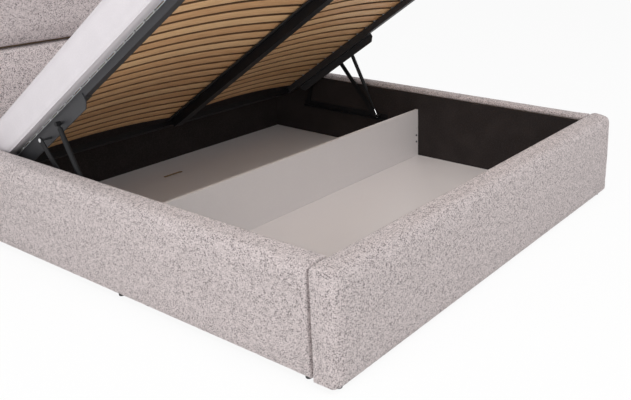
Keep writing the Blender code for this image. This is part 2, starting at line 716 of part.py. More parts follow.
def add_slats(materials, pivot):
    """Two rows of bowed slats; a strip over the side tube ties each row's outer ends."""
    middle = (BASE_FOOT_Y + BASE_HEAD_Y) / 2
    first = middle - SLAT_PITCH * (SLATS - 1) / 2
    for side, sign in SIDES.items():
        rows = bmesh.new()
        for i in range(SLATS):
            low, high = first + i * SLAT_PITCH - SLAT_WIDTH / 2, first + i * SLAT_PITCH + SLAT_WIDTH / 2
            rings = [
                [
                    (sign * x, y, SLAT_BOTTOM + slat_lift(x) + height)
                    for y, height in ((low, 0), (high, 0), (high, SLAT_THICKNESS), (low, SLAT_THICKNESS))
                ]
                for x in slat_stations()
            ]
            piece = loft(rings)
            bmesh.ops.recalc_face_normals(piece, faces=piece.faces)
            mesh = bpy.data.meshes.new("slat")
            piece.to_mesh(mesh)
            piece.free()
            rows.from_mesh(mesh)
            bpy.data.meshes.remove(mesh)
        row = add_object(f"slat_row_{side}", rows, materials["birch"])
        outer = BASE_HALF_WIDTH - SLAT_TIE_INSET
        tie_xs = sorted((sign * outer, sign * (outer - SLAT_TIE_WIDTH)))
        start, end = first - SLAT_WIDTH / 2 + SLAT_TIE_INSET, first + SLAT_PITCH * (SLATS - 1) + SLAT_WIDTH / 2
        tie = add_block(
            f"slat_tie_{side}",
            (tie_xs[0], start, SLAT_BOTTOM),
            (tie_xs[1], end - SLAT_TIE_INSET, SLAT_BOTTOM + SLAT_TIE_THICKNESS),
            None,
        )
        combine(row, tool(tie, f"slat_tie_{side}"), "UNION")
        seat_on_base(row, pivot)


def mattress_profile(share, squeeze):
    """The mattress's section as (x, height over the slats): crowned, rounded, its sides drawn in.

    Its underside lies along the bowed slats and sags where it hangs over the base's sides.
    """
    half = MATTRESS_HALF_WIDTH - squeeze
    top = MATTRESS_THICKNESS - squeeze
    low = squeeze - MATTRESS_OVERHANG_DROP
    foot = MATTRESS_FOOT_RADIUS
    edge = MATTRESS_EDGE_RADIUS
    under = [(x * half / MATTRESS_HALF_WIDTH, squeeze + slat_lift(x)) for x in slat_stations()]
    side = arc((half - foot, low + foot), foot, -1, 0, 3)
    side.append((half - MATTRESS_SIDE_DRAW, (low + top) / 2))
    side += arc((half - edge, top - edge), edge, 0, 1, 4)
    over = []
    for i in range(CROWN_STEPS - 1, -1, -1):
        x = (half - edge) * i / CROWN_STEPS
        over.append((x, top + MATTRESS_CROWN * swell(x / half) * swell(share)))
    right = under + side + over
    return right + [(-x, height) for x, height in reversed(right[:-1])]


def slat_stations():
    """Places from the bed's middle to its side where a bowed slat's facets meet."""
    inner = SLAT_CENTRE_GAP / 2
    return [inner + (BASE_HALF_WIDTH - inner) * i / SLAT_SEGMENTS for i in range(SLAT_SEGMENTS + 1)]


def add_mattress(materials, pivot):
    start = BOX_FOOT_Y + MATTRESS_FOOT_PLAY
    length = BOX_HEAD_Y - MATTRESS_END_PLAY - start
    bottom = SLAT_BOTTOM + SLAT_THICKNESS + GAP
    rings = []
    for place, squeeze in pad_stations(length, MATTRESS_EDGE_RADIUS, CROWN_STEPS):
        profile = mattress_profile(2 * place / length - 1, squeeze)
        rings.append([(x, start + place, bottom + height) for x, height in profile])
    mattress = add_object("mattress", loft(rings), materials["mattress_cloth"], smooth_angle=PAD_SMOOTH)
    return seat_on_base(mattress, pivot)


def flat_link(name, length, hole_at_end, x_low, material, place, angle):
    """A flat steel link along its own +Y, with round ends; its origin is on its ground pivot."""
    radius = LINK_WIDTH / 2
    outline = arc((length, 0), radius, -1, 1, 8) + arc((0, 0), radius, 1, 3, 8)
    link = add_prism(name, outline, 0, LINK_STEEL, material, (x_low, place.x, place.y), angle)
    holes = [0.0] + ([length] if hole_at_end else [])
    for i, y in enumerate(holes):
        bar = round_bar(f"{name}_hole_{i}", PIN_RADIUS + RUN, -OVERRUN, LINK_STEEL + OVERRUN, (y, 0))
        combine(link, bar, "DIFFERENCE")
    return link


def add_links(materials):
    """The front links, which pivot on the base, and the rear links, whose top ends stand at their pins."""
    for side, sign in SIDES.items():
        x_low = min(sign * LINK_OUTER_X, sign * LINK_INNER_X)
        flat_link(
            f"front_link_{side}",
            FRONT_LINK_LENGTH,
            True,
            x_low,
            materials["black_steel"],
            FRONT_GROUND,
            direction(FRONT_GROUND, FRONT_OPEN),
        )
        flat_link(
            f"rear_link_{side}",
            REAR_LINK_LENGTH,
            False,
            x_low,
            materials["black_steel"],
            REAR_GROUND,
            direction(REAR_GROUND, REAR_OPEN),
        )


def add_rail_bars(materials):
    """The angle bar on each side rail that carries the links' and the gas spring's ground pins."""
    centre_z = FRONT_GROUND.y
    low, high = centre_z - RAIL_BAR_HEIGHT / 2, centre_z + RAIL_BAR_HEIGHT / 2
    plate_x = INNER_X - GAP
    for side, sign in SIDES.items():
        section = [
            (plate_x, low),
            (plate_x, high),
            (plate_x - RAIL_BAR_STEEL, high),
            (plate_x - RAIL_BAR_STEEL, low + RAIL_BAR_STEEL),
            (plate_x - RAIL_BAR_SHELF, low + RAIL_BAR_STEEL),
            (plate_x - RAIL_BAR_SHELF, low),
        ]
        rings = [[(sign * x, y, z) for x, z in section] for y in (RAIL_BAR_START, RAIL_BAR_END)]
        bar = add_object(f"lift_rail_bar_{side}", loft(rings), materials["black_steel"])
        face = sign * RAIL_BAR_X
        for name, place in (("front", FRONT_GROUND), ("rear", REAR_GROUND)):
            add_pin(bar, f"ground_pin_{name}_{side}", place, face, sign * LINK_INNER_X)
        add_pin(bar, f"ground_pin_strut_{side}", STRUT_GROUND, face, sign * (STRUT_X - EYE_THICKNESS / 2))
        for i, share in enumerate(RAIL_BAR_SCREWS):
            y = RAIL_BAR_START + (RAIL_BAR_END - RAIL_BAR_START) * share
            xs = sorted((face + sign * ROOT_DEPTH, face - sign * SCREW_HEAD_HEIGHT))
            head = round_bar(f"rail_screw_{side}_{i}", SCREW_HEAD_RADIUS, *xs, (y, centre_z), 12)
            combine(bar, head, "UNION")


def add_brackets(materials, pivot):
    """The angle under each side tube that carries the base pins of both links and the gas spring."""
    start = STRUT_SHUT.x - BRACKET_FRONT_RUN
    end = REAR_SHUT.x + BRACKET_REAR_RUN
    tube_bottom = BASE_HEIGHT - TUBE_HEIGHT
    top = tube_bottom + BRACKET_RISE
    low = tube_bottom - BRACKET_DROP
    shelf_top = tube_bottom - GAP
    outline = [
        (start, top),
        (start, low + BRACKET_CORNER),
        (start + BRACKET_CORNER, low),
        (end - BRACKET_CORNER, low),
        (end, low + BRACKET_CORNER),
        (end, top),
    ]
    for side, sign in SIDES.items():
        xs = sorted((sign * BRACKET_OUTER_X, sign * BRACKET_INNER_X))
        bracket = add_prism(f"lift_bracket_{side}", outline, *xs, materials["anthracite_steel"])
        shelf_xs = sorted((sign * (BRACKET_INNER_X + ROOT_DEPTH), sign * (BRACKET_INNER_X - BRACKET_SHELF)))
        shelf = add_block(
            f"bracket_shelf_{side}",
            (shelf_xs[0], start + ROOT_DEPTH, shelf_top - BRACKET_STEEL),
            (shelf_xs[1], end - ROOT_DEPTH, shelf_top),
            None,
        )
        combine(bracket, tool(shelf, f"bracket_shelf_{side}"), "UNION")
        face = sign * BRACKET_OUTER_X
        add_pin(bracket, f"base_pin_front_{side}", FRONT_SHUT, face, sign * LINK_OUTER_X)
        rear_tip = sign * (LINK_INNER_X - GAP)
        add_pin(bracket, f"base_pin_rear_{side}", REAR_SHUT, face, rear_tip, head=False)
        strut_tip = sign * (STRUT_X - CYLINDER_RADIUS - GAP)
        add_pin(bracket, f"base_pin_strut_{side}", STRUT_SHUT, face, strut_tip, head=False)
        seat_on_base(bracket, pivot)


def barrel(name, radius, start, end, segments=20):
    """A round bar along a gas spring's own +Y."""
    bm = bmesh.new()
    bmesh.ops.create_cone(
        bm, cap_ends=True, segments=segments, radius1=radius, radius2=radius, depth=end - start
    )
    thing = add_object(name, bm, None)
    thing.rotation_euler.x = -math.pi / 2
    thing.location = (0, (start + end) / 2, 0)
    return tool(thing, name)


def add_eye(name, thickness, material, place, angle):
    """A gas spring's flat round eye, with its origin on the pin's axis."""
    bm = bmesh.new()
    bmesh.ops.create_cone(
        bm, cap_ends=True, segments=24, radius1=EYE_RADIUS, radius2=EYE_RADIUS, depth=thickness
    )
    across = Vector((0, 0, 1)).rotation_difference(Vector((1, 0, 0))).to_matrix()
    bmesh.ops.rotate(bm, verts=bm.verts, cent=(0, 0, 0), matrix=across)
    return add_object(name, bm, material, place, angle, smooth_angle=ROUND_SMOOTH)


def add_gas_springs(materials):
    """Each gas spring's cylinder meets the bracket's pin, and its rod runs down to the rail bar's pin.

    The cylinder's eye is as wide as the cylinder, so that all of it passes beside the bracket's pin.
    """
    angle = direction(STRUT_GROUND, STRUT_OPEN)
    for side, sign in SIDES.items():
        top = (sign * STRUT_X, STRUT_OPEN.x, STRUT_OPEN.y)
        foot = (sign * STRUT_X, STRUT_GROUND.x, STRUT_GROUND.y)
        name = f"gas_cylinder_{side}"
        cylinder = add_eye(name, 2 * CYLINDER_RADIUS, materials["black_steel"], top, angle + math.pi)
        combine(cylinder, barrel(f"{name}_neck", NECK_RADIUS, 0, CYLINDER_SHOULDER + OVERRUN), "UNION")
        combine(cylinder, barrel(f"{name}_wall", CYLINDER_RADIUS, CYLINDER_SHOULDER, CYLINDER_LENGTH), "UNION")
        bore_start = CYLINDER_SHOULDER + CYLINDER_FLOOR
        bore = barrel(f"{name}_bore", ROD_RADIUS + RUN, bore_start, CYLINDER_LENGTH + OVERRUN)
        combine(cylinder, bore, "DIFFERENCE")
        name = f"gas_rod_{side}"
        rod = add_eye(name, EYE_THICKNESS, materials["bright_steel"], foot, angle)
        combine(rod, barrel(f"{name}_stem", ROD_RADIUS, 0, ROD_LENGTH), "UNION")
        pin_hole = round_bar(f"{name}_hole", PIN_RADIUS + RUN, -EYE_THICKNESS, EYE_THICKNESS)
        combine(rod, pin_hole, "DIFFERENCE")


def build():
    empty_scene()
    materials = make_materials()
    for side, sign in SIDES.items():
        add_side_walls(side, sign, materials)
    add_foot_walls(materials)
    add_headboard(materials)
    add_box_floor(materials)
    add_glides(materials)
    pivot = add_base_pivot()
    add_base_frame(materials, pivot)
    add_slats(materials, pivot)
    add_mattress(materials, pivot)
    add_rail_bars(materials)
    add_brackets(materials, pivot)
    add_links(materials)
    add_gas_springs(materials)
    bpy.context.view_layer.update()


build()
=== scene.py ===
"""Dresses the storage bed: woolly upholstery, mattress, bowed slats, lift hardware, floor and studio light.

Everything is in metres. The slatted base and the mattress are shaped lying flat, as when the bed is shut,
and are then raised into the open position, where the lift holds them at rest.
"""

import json
import math
import random

import bmesh
import bpy
from mathutils import Matrix, Vector, noise


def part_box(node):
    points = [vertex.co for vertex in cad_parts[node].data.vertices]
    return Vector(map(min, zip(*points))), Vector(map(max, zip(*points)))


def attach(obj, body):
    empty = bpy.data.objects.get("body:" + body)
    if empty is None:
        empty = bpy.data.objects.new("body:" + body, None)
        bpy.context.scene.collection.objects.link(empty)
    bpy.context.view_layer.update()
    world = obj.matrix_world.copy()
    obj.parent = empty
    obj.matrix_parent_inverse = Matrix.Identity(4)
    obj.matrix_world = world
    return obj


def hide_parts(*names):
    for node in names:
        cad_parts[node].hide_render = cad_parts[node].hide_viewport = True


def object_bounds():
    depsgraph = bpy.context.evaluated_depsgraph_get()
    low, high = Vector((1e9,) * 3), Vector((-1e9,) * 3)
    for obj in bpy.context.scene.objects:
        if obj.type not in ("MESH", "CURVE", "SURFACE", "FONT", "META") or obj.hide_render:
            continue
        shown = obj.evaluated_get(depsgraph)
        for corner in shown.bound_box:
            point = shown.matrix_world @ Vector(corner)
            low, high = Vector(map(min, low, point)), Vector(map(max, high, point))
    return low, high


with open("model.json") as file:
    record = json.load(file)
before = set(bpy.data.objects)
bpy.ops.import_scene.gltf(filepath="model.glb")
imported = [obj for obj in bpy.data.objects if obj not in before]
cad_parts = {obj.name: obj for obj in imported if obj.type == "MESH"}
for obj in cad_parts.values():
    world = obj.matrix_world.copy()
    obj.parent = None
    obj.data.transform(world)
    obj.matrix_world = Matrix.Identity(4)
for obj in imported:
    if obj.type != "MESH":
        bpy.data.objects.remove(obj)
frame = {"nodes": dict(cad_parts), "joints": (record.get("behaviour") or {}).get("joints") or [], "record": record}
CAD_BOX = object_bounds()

bl_info = {
    "name": "Storage Bed Dresser",
    "version": (1, 0, 0),
    "blender": (4, 5, 0),
    "location": "View3D > Sidebar > Storage Bed",
    "description": "Upholsters and finishes a storage bed with a lifting slatted base",
    "category": "Object",
}

SIDES = {"left": -1, "right": 1}
X, Y, Z = range(3)
FOOT, HEAD, UP, DOWN = (0, -1, 0), (0, 1, 0), (0, 0, 1), (0, 0, -1)

# The lift: the base hangs on the front links' top pivot, whose place on the open bed the frame gives
JOINTS = {joint["name"]: joint for joint in frame["joints"]}
LIFT_ANGLE = math.radians(34.0)
SHUT_PIVOT = Vector((0, 0.5762, 0.280))
OPEN_PIVOT = Vector((0, *JOINTS["base_tilt"]["pos_m"][1:]))
LIFT_TURN = Matrix.Rotation(-LIFT_ANGLE, 4, "X")
RAISE = Matrix.Translation(OPEN_PIVOT) @ LIFT_TURN @ Matrix.Translation(-SHUT_PIVOT)


def both_sides(*names):
    return tuple(f"{name}_{side}" for name in names for side in SIDES)


# Nodes by finish, for the pieces that keep the frame's shape with softened edges
BEARERS = 5
PANEL_NODES = {
    "raw_board": (*both_sides("side_rail_board"), "footboard_board", "headboard_board"),
    "white_board": ("floor_panel_foot", "floor_panel_head", "divider"),
    "bearer_wood": tuple(f"floor_bearer_{i + 1}" for i in range(BEARERS)),
    "charcoal_felt": (*both_sides("side_lining"), "foot_lining", "head_lining"),
    "backing_cloth": ("headboard_back",),
}
STEEL_NODES = {
    "grey_steel": both_sides("base_side_tube"),
    "black_steel": (
        "base_cross_tube_foot",
        "base_cross_tube_head",
        "base_middle_beam",
        *both_sides("lift_rail_bar", "front_link", "rear_link"),
    ),
    "bright_steel": both_sides("divider_angle"),
    "black_plastic": (
        "slat_holder_middle",
        *both_sides("glide_foot", "glide_rail_front", "glide_rail_middle", "glide_head"),
    ),
}

# Edge softening and the cloth filling
BOARD_EDGE = 0.0008
SLOT_MARGIN = 0.030  # from the finger slot's clear space to past its walls
STEEL_EDGE = 0.0006
MERGE = 0.00001
FLAT_ANGLE = math.radians(1)
EDGE_ANGLE = math.radians(30)
SMOOTH_ANGLE = math.radians(40)
RAIL_VOXEL = 0.0095
CUSHION_VOXEL = 0.012
MATTRESS_VOXEL = 0.019
FILL_FRAMES = 12
CLOTH_SETTINGS = {
    "quality": 3,
    "mass": 0.3,
    "tension_stiffness": 18,
    "compression_stiffness": 18,
    "shear_stiffness": 8,
    "bending_stiffness": 0.6,
    "use_pressure": True,
    "uniform_pressure_force": 4.0,
}
RELAX_SHARE = 0.5
RELAX_TIMES = 2
COVER_SWELL = 0.004
CUSHION_SWELL = 0.007
MATTRESS_SWELL = 0.006
HIDDEN_DEPTH = 0.004  # nearer than this to the face that it rests on, a cover is held
MATTRESS_HELD = HIDDEN_DEPTH * 6  # the same from the mattress's underside
FREE_RUN = 0.03  # from there to where a cover or the mattress swells in full
CUSHION_RUN = 0.02  # the same for a cushion, from the headboard's board
RAIL_TOP_RUN = 0.05  # the same for a cushion, from the rails' top upwards
CUSHION_END = 0.1  # a cushion's end, which swells down to its foot
WIDE_ROUND = 0.021  # rounding that the even skin leaves at a cover's ends
SKIN_ROUND = 0.012  # rounding that it leaves along a cover's square edges
TIGHT_ROUND = 0.008
LINE_STEP = 0.02
SEAM_WIDTH = 0.0080
SEAM_DEPTH = 0.028
SEAM_RUN = 0.014
LUMP_SIZE = 0.014
LUMP_SHARE = 0.45  # of a loop's height
FINE_LUMPS = 2.3  # times as close as the large ones
FINE_LUMP_SHARE = 0.5  # of their height

# How squarely a face looks in a direction, from 0 to 1, where a finish is chosen by it
HALF_FACING = 0.5
SLAT_EDGE_FACING = 0.6
UNDERSIDE_FACING = 0.7
TOP_FACING = 0.8

# Slats
SLAT_COUNT = 27
SLAT_WIDTH = 0.053
SLAT_THICKNESS = 0.008
SLAT_PITCH = 0.0703
SLAT_BOW = 0.022
SLAT_EDGE = 0.0016
SLAT_CUTS = 23

# Studs and caps
EYE_RADIUS = 0.0095
EYE_HALF = 0.0042
BOLT_HEIGHT = 0.0045
STUD_SIDES = 20
STUD_ROUND_SHARE = 0.55
STUD_ROUND_CUTS = 3
SCREW_CAP_RADIUS = 0.0055
SCREW_CAP_HEIGHT = 0.0018
CAP_FROM_END = 0.016
CAP_HEIGHT_SHARES = (0.31, 0.45)

# Mattress
MATTRESS_CORNER = 0.055
WAVE_PITCH = 0.075
WAVE_LENGTH = 0.30
WAVE_SWAY = 0.012
STITCH_DEPTH = 0.0022
STITCH_SHARPNESS = 3
PIPING_INSET = 0.010
PIPING_STEP = 0.05
CORNER_POINTS = 8

# End caps of the slats
CAP_LENGTH = 0.019
CAP_WALL = 0.0020
CAP_EDGE = 0.0012

# Patterns: how close their features lie, to the metre, and how far the yarn's cells are warped, in metres
YARN_WARP_SCALE = 420.0
YARN_WARP = 0.0046
FLECK_PATCH_SCALE = 60.0
PLY_SCALE = 1500.0
PLY_RELIEF = 0.25
GRAIN_STRETCH = (0.055, 1.0, 1.0)
STREAK_SCALE = 150.0
PORE_SCALE = 620.0
DRIFT_SCALE = 3.0
DRIFT_SHARE = 0.3
TONE_SPREAD = 0.45
PATCH_SCALE = 9.0
PATCH_SHARE = 0.5
ROUGHNESS_SPREAD = 0.25

# Speckled finishes: base, speck, grain's scale, specks' amount, roughness, and bump's strength and height.
# A base given by its name is one of the bed's colours.
SPECKLED_FINISHES = {
    "raw_board": ((0.44, 0.31, 0.19), (0.22, 0.14, 0.08), 420.0, 0.8, 0.85, (0.3, 0.0006)),
    "white_board": ("board", (0.75, 0.72, 0.70), 260.0, 0.18, 0.42, (0.04, 0.0003)),
    "charcoal_felt": ("lining", (0.052, 0.044, 0.042), 190.0, 0.42, 0.97, (0.7, 0.0014)),
    "backing_cloth": ((0.028, 0.027, 0.027), (0.07, 0.07, 0.07), 900.0, 0.4, 0.9, (0.4, 0.0005)),
    "grey_steel": ("grey_steel", (0.062, 0.062, 0.067), 1500.0, 0.35, 0.50, (0.12, 0.0003)),
    "black_steel": ("black_steel", (0.020, 0.020, 0.022), 1500.0, 0.35, 0.50, (0.12, 0.0003)),
    "bright_steel": ((0.58, 0.58, 0.59), (0.68, 0.68, 0.69), 700.0, 0.4, 0.24, (0.05, 0.0002)),
    "black_plastic": ((0.018, 0.018, 0.019), (0.05, 0.05, 0.052), 1100.0, 0.3, 0.5, (0.15, 0.0003)),
    "pale_plastic": ((0.80, 0.80, 0.80), (0.86, 0.86, 0.86), 1100.0, 0.3, 0.45, (0.1, 0.0003)),
    "ticking": ("ticking", (0.74, 0.70, 0.73), 320.0, 0.5, 0.88, (0.5, 0.0010)),
    # dark cloth under the mattress: a non-slip cloth, and painted shade for the gaps between the slats
    "dark_underside": ((0.020, 0.018, 0.017), (0.05, 0.048, 0.046), 700.0, 0.4, 0.95, (0.4, 0.0006)),
}
SPECKLED_SHADERS = {
    "charcoal_felt": {"gloss": 0.2},
    "grey_steel": {"gloss": 0.30},
    "black_steel": {"gloss": 0.16},
    "bright_steel": {"metallic": 1.0},
    "ticking": {"sheen": 0.08},
}

# Grained finishes: pale and dark grain, and the bump's strength and height
GRAINED_FINISHES = {
    # the slats' side faces: the laminated edges' darker tone, and painted shade for the gaps between the slats
    "slat_edge": ((0.30, 0.155, 0.072), (0.14, 0.068, 0.030), (0.2, 0.0004)),
    "bearer_wood": ((0.62, 0.45, 0.26), (0.44, 0.28, 0.13), (0.25, 0.0005)),
}

# Studio: a lamp has its place, what it points at and its diameter
CAMERA_PLACE = (-2.4572, -2.3831, 1.3667)
CAMERA_YAW = math.radians(55.424)
CAMERA_PITCH = math.radians(17.829)
CAMERA_LENS = 45.08
CAMERA_SHIFT = (-0.165, -0.079)
KEY_LAMP = ((-1.0, -4.9, 6.5), (0.2, -0.3, 0.4), 4.5)
FILL_LAMP = ((-4.2, -0.6, 1.6), (0.0, 0.0, 0.5), 2.6)
WHITE = (1, 1, 1, 1)
FLOOR_REACH = 30.0
FLOOR_WHITE = (0.86, 0.86, 0.86)
FLOOR_ROUGHNESS = 0.9
FLOOR_SHARE = 0.91  # of plain white in the open floor, as the camera sees it
UNDER_EDGE = 0.06  # from the bed's outline in to where the floor under it starts


class BedColours(bpy.types.PropertyGroup):
    """Colours of the bed's cloths, boards and metal."""

    def colour(name, description, value):
        return bpy.props.FloatVectorProperty(
            name=name, description=description, subtype="COLOR", size=3, min=0, max=1, default=value
        )

    wool_pale: colour("Wool, pale", "Colour of the upholstery's pale loops", (0.80, 0.715, 0.71))
    wool_mid: colour("Wool, middle", "Colour of most of the upholstery's loops", (0.55, 0.475, 0.47))
    wool_fleck: colour("Wool, fleck", "Colour of the dark flecks in the upholstery", (0.075, 0.06, 0.062))
    lining: colour("Lining", "Colour of the felt inside the box", (0.0195, 0.0150, 0.0145))
    board: colour("White board", "Colour of the floor and divider", (0.655, 0.612, 0.606))
    slat_pale: colour("Slat, pale", "Pale grain of the slats", (0.93, 0.60, 0.31))
    slat_dark: colour("Slat, dark", "Dark grain of the slats", (0.72, 0.40, 0.185))
    grey_steel: colour("Grey steel", "Powder coat of the side tubes", (0.034, 0.034, 0.037))
    black_steel: colour("Black steel", "Powder coat of the lift and the middle beam", (0.008, 0.008, 0.009))
    ticking: colour("Ticking", "Colour of the mattress cloth", (0.648, 0.613, 0.638))


class BedSizes(bpy.types.PropertyGroup):
    """Sizes of the upholstery's texture and of the small parts."""

    def length(name, description, value, least=0.0):
        return bpy.props.FloatProperty(
            name=name, description=description, default=value, min=least, unit="LENGTH"
        )

    loop_size: length("Loop size", "Width of one woolly loop", 0.0026, 0.002)
    loop_height: length("Loop height", "How far loops stand out", 0.0012)
    piping: length("Piping", "Radius of the mattress's piping", 0.0035, 0.001)
    bolt_head: length("Bolt head", "Radius of the gas springs' bolt heads", 0.006, 0.002)
    rod_fitting: length("Rod fitting", "Length of the bright fitting at a gas spring's foot", 0.040)


class BedStudio(bpy.types.PropertyGroup):
    """Light of the studio."""

    def power(name, description, watts):
        return bpy.props.FloatProperty(
            name=name, description=description, default=watts, min=0, unit="POWER"
        )

    world_light: bpy.props.FloatProperty(
        name="World light", description="Strength of the even light", default=0.50, min=0
    )
    key_watts: power("Key lamp", "Power of the large lamp over the foot end", 320.0)
    fill_watts: power("Fill lamp", "Power of the low lamp at the near side", 60.0)


def colours():
    return bpy.context.scene.bed_colours


def sizes():
    return bpy.context.scene.bed_sizes


def studio():
    return bpy.context.scene.bed_studio


# Shader groups


def new_group(name, inputs, outputs):
    """A node group with the named sockets; gives the tree, its input node and its output node."""
    tree = bpy.data.node_groups.new(name, "ShaderNodeTree")
    for socket, (kind, value) in inputs.items():
        item = tree.interface.new_socket(socket, in_out="INPUT", socket_type=f"NodeSocket{kind}")
        if value is not None:
            item.default_value = value
    for socket, kind in outputs.items():
        tree.interface.new_socket(socket, in_out="OUTPUT", socket_type=f"NodeSocket{kind}")
    return tree, tree.nodes.new("NodeGroupInput"), tree.nodes.new("NodeGroupOutput")


def add(tree, kind, **settings):
    """A shader node with its settings and, through the key 'values', its input values."""
    node = tree.nodes.new(f"ShaderNode{kind}")
    values = settings.pop("values", {})
    for key, value in settings.items():
        setattr(node, key, value)
    for socket, value in values.items():
        node.inputs[socket].default_value = value
    return node


def feed(tree, socket, value):
    """Links an output to a socket, or sets the socket to a value."""
    if isinstance(value, bpy.types.NodeSocket):
        tree.links.new(value, socket)
    else:
        socket.default_value = value


def blend_colour(tree, factor, first, second):
    """The colour between two others; all three arguments are outputs."""
    mix = add(tree, "Mix", data_type="RGBA", blend_type="MIX")
    for socket, output in ((mix.inputs[0], factor), (mix.inputs[6], first), (mix.inputs[7], second)):
        tree.links.new(output, socket)
    return mix.outputs[2]


def reach(tree, source, low, high, out_low=0.0, out_high=1.0, smooth=True):
    """Maps an output's range to another range."""
    kind = "SMOOTHSTEP" if smooth else "LINEAR"
    limits = {"From Min": low, "From Max": high, "To Min": out_low, "To Max": out_high}
    node = add(tree, "MapRange", interpolation_type=kind, values=limits)
    tree.links.new(source, node.inputs["Value"])
    return node.outputs["Result"]


def calculate(tree, operation, first, second=0.0):
    node = add(tree, "Math", operation=operation)
    for socket, value in zip(node.inputs, (first, second)):
        feed(tree, socket, value)
    return node.outputs[0]


def noise_value(tree, vector, scale, detail=2.0, roughness=0.5):
    node = add(tree, "TexNoise", values={"Detail": detail, "Roughness": roughness})
    tree.links.new(vector, node.inputs["Vector"])
    feed(tree, node.inputs["Scale"], scale)
    return node.outputs["Fac"]


def woolly_loops_group():
    """Curly loops: cells of pale, middle and dark yarn, warped so that no cell looks round."""
    tree, start, end = new_group(
        "Woolly Loops",
        {
            "Vector": ("Vector", None),
            "Scale": ("Float", 190.0),
            "Pale": ("Color", (0.7, 0.7, 0.7, 1)),
            "Middle": ("Color", (0.5, 0.5, 0.5, 1)),
            "Fleck": ("Color", (0.1, 0.1, 0.1, 1)),
        },
        {"Color": "Color", "Height": "Float"},
    )
    links = tree.links
    warp = add(tree, "TexNoise", values={"Scale": YARN_WARP_SCALE, "Detail": 2.0})
    links.new(start.outputs["Vector"], warp.inputs["Vector"])
    centred = add(tree, "VectorMath", operation="SUBTRACT", values={1: (0.5, 0.5, 0.5)})
    links.new(warp.outputs["Color"], centred.inputs[0])
    scaled = add(tree, "VectorMath", operation="SCALE", values={"Scale": YARN_WARP})
    links.new(centred.outputs[0], scaled.inputs[0])
    moved = add(tree, "VectorMath", operation="ADD")
    links.new(start.outputs["Vector"], moved.inputs[0])
    links.new(scaled.outputs[0], moved.inputs[1])
    cells = add(tree, "TexVoronoi", feature="F1")
    links.new(moved.outputs[0], cells.inputs["Vector"])
    links.new(start.outputs["Scale"], cells.inputs["Scale"])
    tone = add(tree, "SeparateColor")
    links.new(cells.outputs["Color"], tone.inputs["Color"])
    patch = noise_value(tree, start.outputs["Vector"], FLECK_PATCH_SCALE)
    fleck_edge = reach(tree, patch, 0.35, 0.65, 0.12, 0.34)
    fleck = calculate(tree, "LESS_THAN", tone.outputs["Red"], fleck_edge)
    yarn = blend_colour(tree, tone.outputs["Green"], start.outputs["Middle"], start.outputs["Pale"])
    ply = noise_value(tree, moved.outputs[0], PLY_SCALE, detail=1.0)
    fleck_part = calculate(tree, "MULTIPLY", fleck, reach(tree, ply, 0.3, 0.6, 0.35, 1.0))
    flecked = blend_colour(tree, fleck_part, yarn, start.outputs["Fleck"])
    hollow = reach(tree, cells.outputs["Distance"], 0.35, 0.95, 0.0, 0.45)
    shaded = blend_colour(tree, hollow, flecked, start.outputs["Fleck"])
    dome = reach(tree, cells.outputs["Distance"], 0.0, 0.8, 1.0, 0.0)
    rough = calculate(tree, "MULTIPLY", ply, PLY_RELIEF)
    links.new(shaded, end.inputs["Color"])
    links.new(calculate(tree, "ADD", dome, rough), end.inputs["Height"])
    return tree


def wood_grain_group():
    """Long grain along X: streaks, pores and slow colour drift."""
    tree, start, end = new_group(
        "Wood Grain",
        {
            "Vector": ("Vector", None),
            "Pale": ("Color", (0.6, 0.4, 0.2, 1)),
            "Dark": ("Color", (0.4, 0.2, 0.1, 1)),
            "Tone": ("Float", 0.5),
        },
        {"Color": "Color", "Roughness": "Float", "Height": "Float"},
    )
    links = tree.links
    stretch = add(tree, "Mapping", values={"Scale": GRAIN_STRETCH})
    links.new(start.outputs["Vector"], stretch.inputs["Vector"])
    streak = noise_value(tree, stretch.outputs[0], STREAK_SCALE, detail=4.0, roughness=0.6)
    pores = noise_value(tree, stretch.outputs[0], PORE_SCALE)
    drift = noise_value(tree, start.outputs["Vector"], DRIFT_SCALE, detail=1.0)
    streaked = reach(tree, streak, 0.32, 0.68, 0.0, 0.65)
    mixed = calculate(tree, "ADD", streaked, calculate(tree, "MULTIPLY", drift, DRIFT_SHARE))
    own_tone = reach(tree, start.outputs["Tone"], 0.0, 1.0, -TONE_SPREAD, TONE_SPREAD, smooth=False)
    toned = calculate(tree, "ADD", mixed, own_tone)
    grain = blend_colour(tree, toned, start.outputs["Pale"], start.outputs["Dark"])
    dots = reach(tree, pores, 0.60, 0.72, 0.0, 0.5)
    links.new(blend_colour(tree, dots, grain, start.outputs["Dark"]), end.inputs["Color"])
    links.new(reach(tree, streak, 0.3, 0.7, 0.52, 0.70), end.inputs["Roughness"])
    links.new(calculate(tree, "SUBTRACT", streak, dots), end.inputs["Height"])
    return tree


